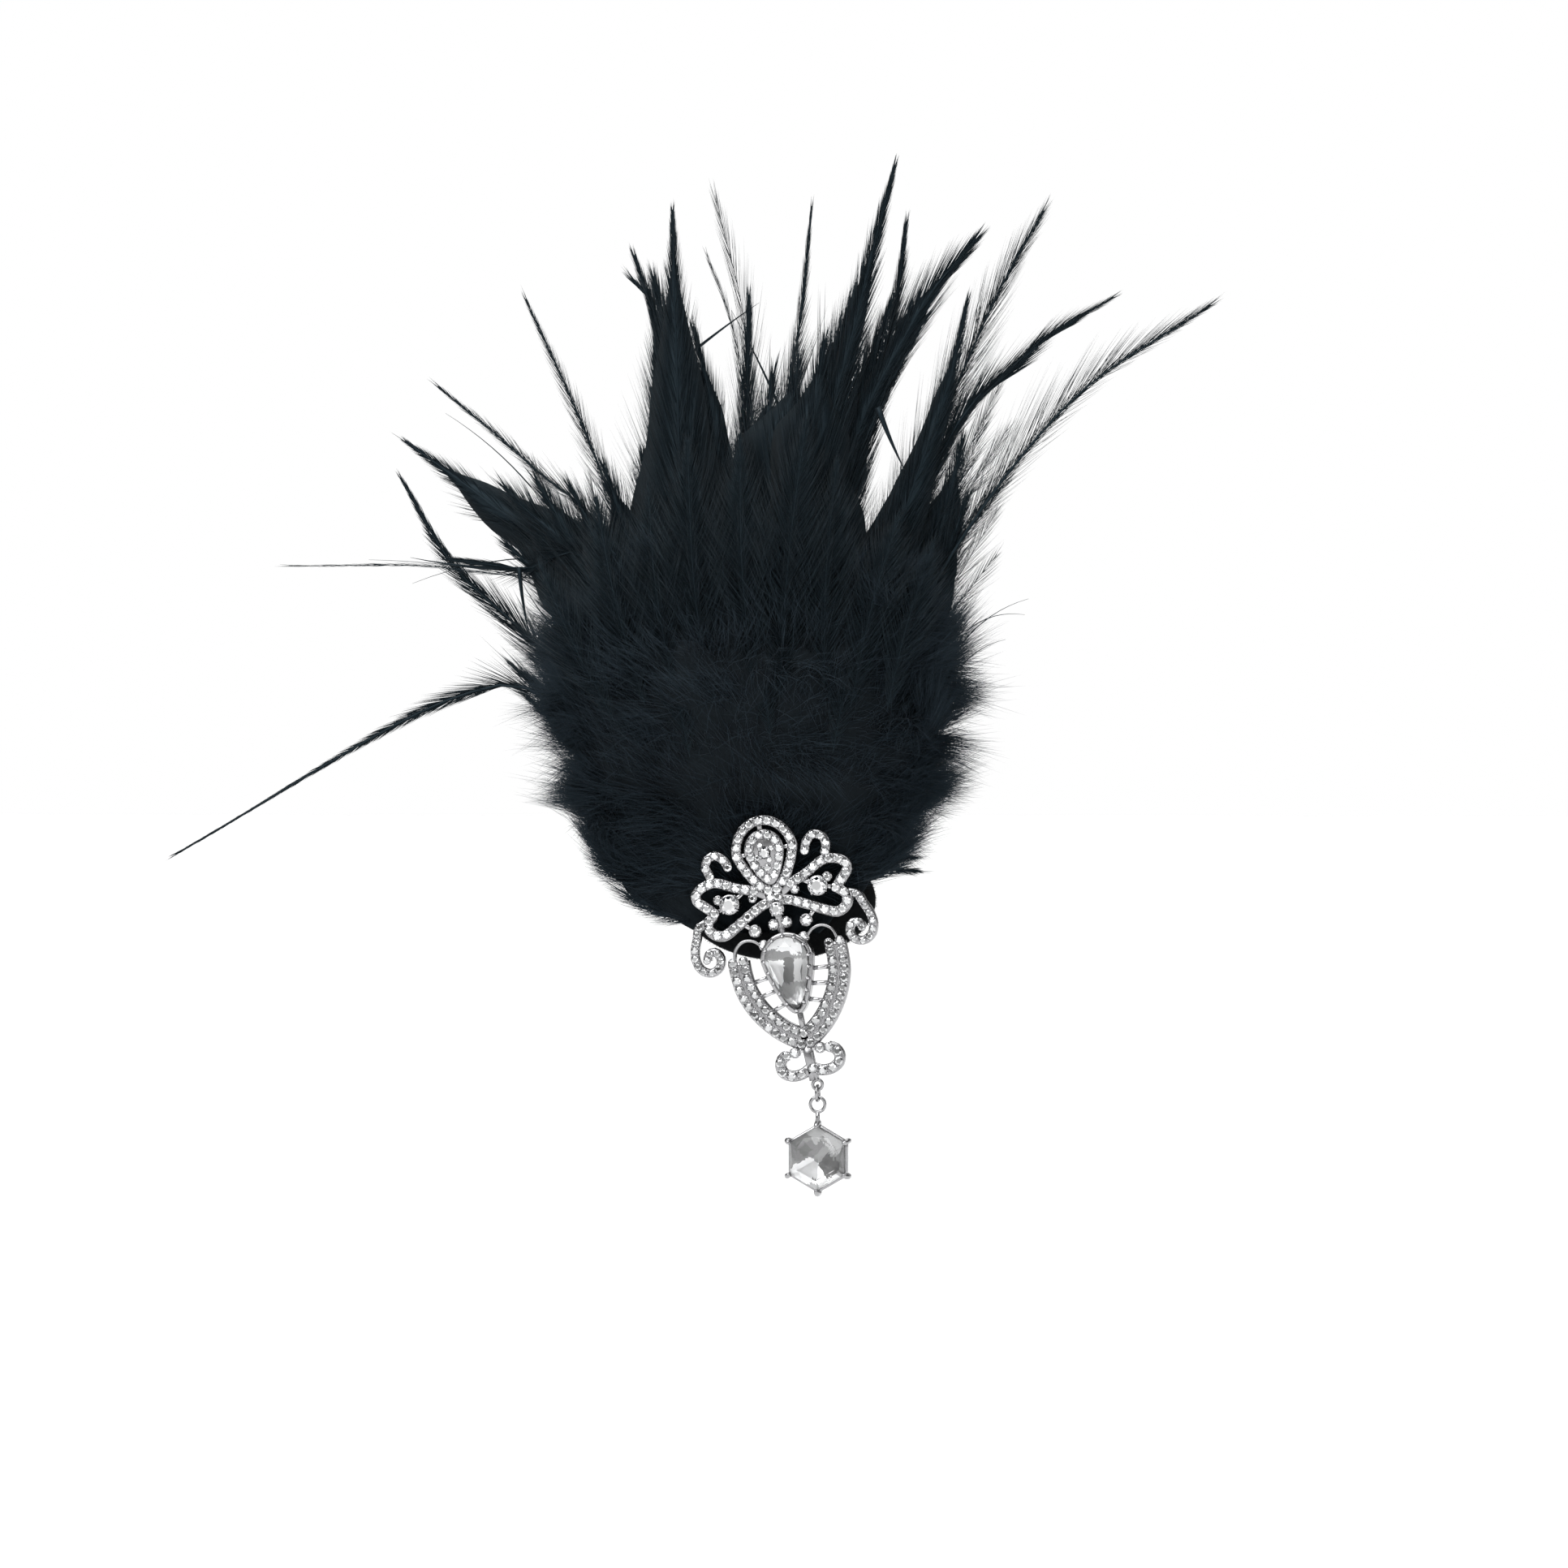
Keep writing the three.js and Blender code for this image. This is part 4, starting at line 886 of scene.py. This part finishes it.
setting = Pile()
outline = hexagon(6)
wall = [np.insert(outline * out_to, 1, depth, axis=1) for depth, out_to in DROP_WALL]
setting.add(hung(loft(np.stack(wall), True)))
out_to, depth = np.transpose(DROP_CLAW)
for corner in hexagon(1):
    line = np.stack([corner[0] * out_to, depth, corner[1] * out_to], 1)
    setting.add(hung(tube(line, DROP_CLAW_RADII, 10, reference=(-corner[1], 0.0, corner[0]))))
loop_up = LOOP_Z - DROP_HEIGHT
neck = np.array(NECK + [(0, loop_up - LOOP_RADIUS + NECK_OVERLAP, NECK_TOP)])
setting.add(hung(tube(np.insert(neck[:, :2], 0, 0, axis=1), neck[:, 2], 12)))
setting.add(hung(tube(circle((0, 0, loop_up), LOOP_RADIUS, 40), LOOP_WIRE, 10, True)))
setting.build("drop_claws", "drop", "silver", silver_look, nodes=("drop_setting",))

stone = Pile().add(hung(cut_stone(hexagon_rim, *DROP_CUT)))
stone.build("drop_stone_cut", "drop", "crystal", crystal_look, smooth=False, nodes=("drop_stone",))
bowl = foil_bowl(hexagon_rim, *DROP_FOIL)
# The foil carries painted reflections: light and dark patches from the chart
foil = Pile().add(hung(bowl), painted_foil_reflections(bowl, DROP_REFLECTION_CHART, DROP_GROUND, kites=True))
foil.build("drop_foil", "drop", "crystal", foil_look, smooth=False)


# The felt pad: a soft-edged oval with a short nap

def on_pad(angle, inset, share, depth):
    """Points of the pad's oval, drawn in by an inset and to a share of its size."""
    across = PAD_X + (PAD_WIDE - inset) * share * np.cos(angle)
    return np.stack([across, depth, PAD_Z + (PAD_HIGH - inset) * share * np.sin(angle)], 1)


pad = Pile()
pad.add(loft(np.stack([on_pad(turns(96), inset, 1, np.full(96, depth)) for depth, inset in PAD_EDGE])))
spin = rng.uniform(0, 2 * math.pi, NAP_COUNT)
share = np.where(rng.random(NAP_COUNT) < 0.5, 1.0, np.sqrt(rng.random(NAP_COUNT)))
rim = share == 1
root = on_pad(spin, NAP_INSET, share, np.where(rim, rng.uniform(-5.7, -4.1, NAP_COUNT), NAP_BACK))
out = np.stack([np.cos(spin) * rim, np.where(rim, 0, 0.6), np.sin(spin) * rim], 1)
out = normalised(out + rng.normal(0, 0.45, (NAP_COUNT, 3))) * rng.uniform(0.4, 0.9, (NAP_COUNT, 1))
points = root[:, None] + out[:, None] * np.array([0, 0.55, 1])[None, :, None]
pad.add(strands(points, np.broadcast_to(np.array([0.035, 0.028, 0.0]), (NAP_COUNT, 3))))
pad.build("felt_disc", "ornament", "felt", felt_look, nodes=("felt_pad",))


# Long feathers: a quill with barbs on both sides

def quill_line(low_x, low_z, high_x, high_z, tip_x, tip_z, tip_depth):
    foot_x = min(max(low_x * FOOT_SHARE, -FOOT_REACH), FOOT_REACH)
    line = smooth_line([(foot_x, QUILL_FOOT), (low_x, low_z), (high_x, high_z), (tip_x, tip_z)], per=24)
    far = reach(line)
    depth = QUILL_DEPTH + (tip_depth - QUILL_DEPTH) * (far / far[-1])**2
    return np.stack([line[:, 0], depth, line[:, 1]], 1), far[-1]


def along_line(line, share):
    far = reach(line)
    return np.stack([np.interp(share * far[-1], far, line[:, k]) for k in range(3)], -1)


def beside(line, t):
    """The direction along a line at shares t of it, and the direction to its left."""
    along = normalised(along_line(line, np.minimum(t + 0.01, 1)) - along_line(line, t - 0.01))
    return along, normalised(np.stack([-along[:, 2], np.zeros(len(t)), along[:, 0]], 1))


def vane_half(t, ends, width, full_to, taper):
    """Half the vane's width for barbs that leave the quill at t and end beside the share ends."""
    narrowed = np.minimum(1, np.maximum(VANE_END - ends, 0) / (VANE_END - full_to))**taper
    return (width / 2) * narrowed * np.minimum(1, t * 3)


def barbs(line, length, way, outline, density, degrees, thickness, first):
    """Barbs on one side of a quill. Each is as long as it takes for its end to reach the vane's outline."""
    count = max(8, int(length * (1 - first) * density * CLOSENESS))
    t = first + (0.995 - first) * (np.arange(count) + rng.uniform(0, 1, count)) / count
    start = along_line(line, t)
    along, left = beside(line, t)
    knots = rng.normal(0, 1, int(length / LOCK) + 3)
    lock = np.interp(t * length / LOCK, np.arange(len(knots)), knots)
    angle = np.radians(degrees) * np.interp(t, *BARB_ANGLES)
    angle = np.maximum(angle * (1 + 0.12 * lock) * rng.normal(1, 0.12, count), LEAST_ANGLE)
    size = np.full(count, 5.0)
    for _ in range(6):
        ends = np.minimum(t + size * np.cos(angle) / length, VANE_END)
        size = 0.5 * size + 0.5 * (vane_half(t, ends, *outline) + 0.25) / np.sin(angle)
    size = np.minimum(size, LONGEST_BARB) * rng.uniform(0.74, 1.22, count)
    step = np.array([0, 0.5, 1.0])
    bend = angle[:, None] * (1.18 - 0.18 * step)
    ahead = step * size[:, None] * np.cos(bend)
    aside = step * size[:, None] * np.sin(bend) * way
    points = start[:, None] + along[:, None] * ahead[..., None] + left[:, None] * aside[..., None]
    points[..., 1] += (rng.normal(0.02, 0.05, count))[:, None] * step**1.5 * size[:, None]
    radii = thickness * np.array([1, 0.85, 0.0])[None] * rng.uniform(0.75, 1.2, (count, 1))
    return points, radii


def web(line, outline, share):
    """The closed part of a dense vane, a thin leaf that stays well inside the ends of its barbs."""
    t = np.linspace(WEB_FROM, WEB_TO, 48)
    wavy = share + 0.05 * np.sin(t * 37 + outline[0])
    half = vane_half(t, t, *outline) * wavy * np.minimum(1, (WEB_TO + 0.02 - t) * 9)
    side = beside(line, t)[1] * half[:, None]
    middle = along_line(line, t)
    crest = np.array([0, 0.1, 0])
    return loft(np.stack([middle - side, middle + crest, middle + side, middle - crest], 1))


def quill(line, foot_radius, tip_radius):
    t = np.linspace(0, 1, 26)
    return tube(along_line(line, t), tip_radius + (foot_radius - tip_radius) * (1 - t)**0.75, 6)


def add_feather(pile, line, length, vane, foot_radius, first):
    """A quill with its two vanes and barbs close along it. The thinner side of a vane is the narrower one."""
    width, full_to, taper, density, degrees = vane
    left, right = np.broadcast_to(density, 2)
    fullest = max(left, right)
    faint = fullest <= FAINT
    pile.add(quill(line, FAINT_FOOT, FAINT_TIP) if faint else quill(line, foot_radius, TIP_RADIUS))
    for way, density in ((1, left), (-1, right)):
        outline = (width * (THIN_SIDE + (1 - THIN_SIDE) * density / fullest), full_to, taper)
        thickness = DENSE_BARB if density > DENSE else FINE_BARB
        pile.add(strands(*barbs(line, length, way, outline, density, degrees, thickness, first)))
        if not faint:
            outline = (min(width, CLOSE_WIDTH), full_to, taper)
            pile.add(strands(*barbs(line, length, way, outline, *CLOSE_BARBS, first)))


hackles = [Pile(), Pile(), Pile()]
for number, (*places, width, full_to, taper, density, degrees) in enumerate(FEATHERS + CORES):
    line, length = quill_line(*places)
    pile = hackles[number % 3]
    foot_radius = FOOT_RADIUS + FOOT_GROWTH * width
    add_feather(pile, line, length, (width, full_to, taper, density, degrees), foot_radius, FIRST_BARB)
    if np.max(density) > DENSE and width > WEB_LEAST:
        pile.add(web(line, (width, full_to, taper), STREAKY_WEB if np.max(density) > STREAKY else FULL_WEB))
for x1, z1, x2, z2, sag, depth, thickness in BARE_QUILLS:
    t = np.linspace(0, 1, 9)
    square = normalised(np.array([z2 - z1, x1 - x2]))
    bow = 4 * t * (1 - t) * sag
    x, z = x1 + (x2 - x1) * t + square[0] * bow, z1 + (z2 - z1) * t + square[1] * bow
    hackles[0].add(tube(np.stack([x, np.full(9, depth), z], 1), STRAND_TIP + thickness * (1 - t), 6))
hackles[0].build("hackles_a", "ornament", "feather", feather_look, nodes=("hackle_fan",))
hackles[1].build("hackles_b", "ornament", "feather", feather_look)
hackles[2].build("hackles_c", "ornament", "feather", feather_look)

plumes = Pile()
for root_x, root_z, tip_x, tip_z, width in PLUMES:
    middle = ((root_x + tip_x) / 2, PLUME_MIDDLE, (root_z + tip_z) / 2)
    line = smooth_line([(root_x, PLUME_ROOT, root_z), middle, (tip_x, PLUME_TIP, tip_z)], per=24)
    add_feather(plumes, line, reach(line)[-1], (width, *PLUME_VANE), PLUME_QUILL, PLUME_BARB)
plumes.build("soft_plumes", "ornament", "feather", feather_look)


# The down: a body of soft feather covered in fine barbs that lie outward and upward

def settled(points):
    """Down kept behind the brooch, in front of the felt and clear of the clip."""
    x, y, z = points[..., 0], points[..., 1], points[..., 2]
    across = x * math.cos(LEAN) + z * math.sin(LEAN)
    up = z * math.cos(LEAN) - x * math.sin(LEAN) + BROOCH_LEVEL
    above = np.maximum(0, up - np.interp(np.abs(across), *CROWN_TOP))
    y = np.maximum(y, BROOCH_BACK + BEHIND_BROOCH - CROWN_SLOPE * above)
    y = np.where(y < DOWN_FRONT, DOWN_FRONT - DOWN_GIVE * np.tanh((DOWN_FRONT - y) / DOWN_GIVE), y)
    felt = ((x - PAD_X) / (PAD_WIDE + FELT_MARGIN))**2 + ((z - PAD_Z) / (PAD_HIGH + FELT_MARGIN))**2 < 1
    jaw = (np.abs(x) < JAW_HALF) & (z < JAW_TOP)
    y = np.where(felt, np.minimum(y, FELT_FACE), np.where(jaw, np.minimum(y, JAW_FACE), y))
    return np.stack([x, y, z], -1)


def puff_point(height, turn, grow):
    """A point of the down's body at a height and a turn round it; sin(turn) above 0 is the front."""
    heights, *edges = np.transpose(PUFF)
    left, right, front = (np.interp(height, heights, edge) for edge in edges)
    depth = np.where(np.sin(turn) > 0, PUFF_WAIST - front, PUFF_BACK) + grow
    x = (left + right) / 2 + ((right - left) / 2 + grow) * np.cos(turn)
    return np.stack([x, PUFF_WAIST - depth * np.sin(turn), np.broadcast_to(height, x.shape)], -1)


turn = turns(72)
waves = sum(np.sin(turn * count + start) * high for count, start, high in BODY_WAVES)
rows = [
    puff_point(np.full(72, level), turn, BODY_SUNK + waves * (1 + 0.5 * np.sin(level * 0.7)))
    for level in np.linspace(*BODY_ROWS)]
shell = loft(np.stack(rows))
body = Pile().add((settled(shell[0]), shell[1]))
body.build("down_body", "ornament", "feather", matted_look, nodes=("marabou_puff",))


def fur(count, height, turn, length, thickness, sunk, lift, gather, ruffle):
    """Fine barbs rooted in the body. They lean from the foot of the plume outward, and gather in tufts."""
    root = puff_point(height, turn, -sunk)
    normal = normalised(puff_point(height, turn, 1.0 - sunk) - root)
    flow = np.stack([root[:, 0] * FLOW_SPREAD + FLOW_MIDDLE, np.zeros(count), root[:, 2] + FLOW_HEIGHT], 1)
    flow[:, 2] *= np.where(root[:, 2] < LEVEL_BELOW, np.interp(root[:, 2], *LEVEL_TURN), 1)
    flow = normalised(flow)
    row, column = height / TUFT_SIZE * TUFT_RISE, turn / (2 * math.pi) * TUFT_ROUND / TUFT_SIZE
    cell = np.floor(np.stack([row, column], 1)).astype(int)
    key = (cell[:, 0] * 7919 + cell[:, 1] * 104729) % TUFT_KINDS
    tuft = np.random.default_rng(7).normal(0, 1, (TUFT_KINDS, 3))[key]
    way = normalised(normal * lift + flow * FLOW_SHARE + tuft * gather + rng.normal(0, ruffle, (count, 3)))
    curl = tuft * TUFT_CURL + rng.normal(0, OWN_CURL, (count, 3))
    step = np.array([0, 0.5, 1.0])[None, :, None]
    points = root[:, None] + (way[:, None] * step + curl[:, None] * step**2) * length[:, None, None]
    points = settled(points)
    points = points[points[:, -1, 2] > np.interp(points[:, -1, 0], *HEM)]
    radii = thickness * np.array([1, 0.75, 0.0])[None] * rng.uniform(0.7, 1.2, (len(points), 1))
    return strands(points, radii)


for name, count, low, high, first, last, short, long, *look in COATS:
    height = rng.uniform(low, high, count)
    turn = rng.uniform(first, last, count) * 2 * math.pi
    length = rng.uniform(short, long, count) * rng.uniform(0.75, 1.1, count)
    coat = Pile().add(fur(count, height, turn, length, *look))
    coat.build(name, "ornament", "feather", down_look)


# The clip keeps its own shape

clip = bpy.data.objects["clip"]
clip.data.materials.clear()
clip.data.materials.append(steel_look)


# Stage, light and camera

FLOOR_LEVEL, FLOOR_REACH = -0.16, 30
corners = [(FLOOR_REACH * x, FLOOR_REACH * y, FLOOR_LEVEL) for x, y in ((-1, -1), (1, -1), (1, 1), (-1, 1))]
floor_mesh = bpy.data.meshes.new("floor")
floor_mesh.from_pydata(corners, [], [(0, 1, 2, 3)])
floor_mesh.materials.append(principled("floor", (0.93, 0.93, 0.93), 0.8))
floor = new_object("floor", floor_mesh)

# The sky's brightness from the horizon to straight above
SKY = [(0.0, 0.6), (0.16, 0.6), (0.3, 0.1), (0.6, 0.16), (0.74, 0.7), (1.0, 0.7)]
world = bpy.data.worlds.new("studio")
world.use_nodes = True
bpy.context.scene.world = world
where = add_node(world, "ShaderNodeTexCoord")
split = add_node(world, "ShaderNodeSeparateXYZ")
ramp = add_node(world, "ShaderNodeValToRGB")
sky = world.node_tree.nodes["Background"]
join(world, where.outputs["Generated"], split.inputs[0])
join(world, split.outputs["Z"], ramp.inputs[0])
join(world, ramp.outputs[0], sky.inputs["Color"])
while len(ramp.color_ramp.elements) < len(SKY):
    ramp.color_ramp.elements.new(0.5)
for element, (place, value) in zip(ramp.color_ramp.elements, SKY):
    element.position = place
    element.color = (value, value, value, 1)
backdrop = add_node(world, "ShaderNodeBackground", {"Color": (1, 1, 1, 1)})
path = add_node(world, "ShaderNodeLightPath")
choice = add_node(world, "ShaderNodeMixShader")
join(world, path.outputs["Is Camera Ray"], choice.inputs[0])
join(world, sky.outputs[0], choice.inputs[1])
join(world, backdrop.outputs[0], choice.inputs[2])
join(world, choice.outputs[0], world.node_tree.nodes["World Output"].inputs["Surface"])
bpy.context.scene.view_settings.view_transform = "Standard"


def looking(way):
    """The turn of a light or a camera that looks along a direction."""
    return Vector(way).to_track_quat("-Z", "Y").to_euler()


sun_data = bpy.data.lights.new("sky", "SUN")
sun_data.energy = 2.6
sun_data.angle = math.radians(70)
new_object("sky", sun_data).rotation_euler = looking((0.25, 0.45, -1))

LIT_POINT = Vector((0, 0, 0.03))
# Square lights: name, place, size, power
LAMPS = [
    ("key", (-1.3, -1.9, 1.6), 1.0, 16),
    ("fill", (1.9, -1.5, 0.8), 0.9, 8),
    ("top", (0.2, 1.5, 1.9), 1.2, 14),
]
for name, place, size, power in LAMPS:
    data = bpy.data.lights.new(name, "AREA")
    data.size = size
    data.energy = power
    lamp = new_object(name, data)
    lamp.location = place
    lamp.rotation_euler = looking(LIT_POINT - Vector(place))

# The picture is 1932 by 1932 pixels, 0.18 mm each where the brooch's face is
YAW = math.radians(11)
DISTANCE, PICTURE_WIDTH, SENSOR_MM = 1.2, 0.3478, 36
AIM = Vector((0.001895, -0.01363, 0.0261))
camera_data = bpy.data.cameras.new("camera")
camera_data.sensor_width = SENSOR_MM
camera_data.lens = SENSOR_MM * DISTANCE / PICTURE_WIDTH
camera_data.clip_end = 100
camera = new_object("camera", camera_data)
back = Vector((math.sin(YAW), -math.cos(YAW), 0))
camera.location = AIM + back * DISTANCE
camera.rotation_euler = looking(-back)
bpy.context.scene.camera = camera
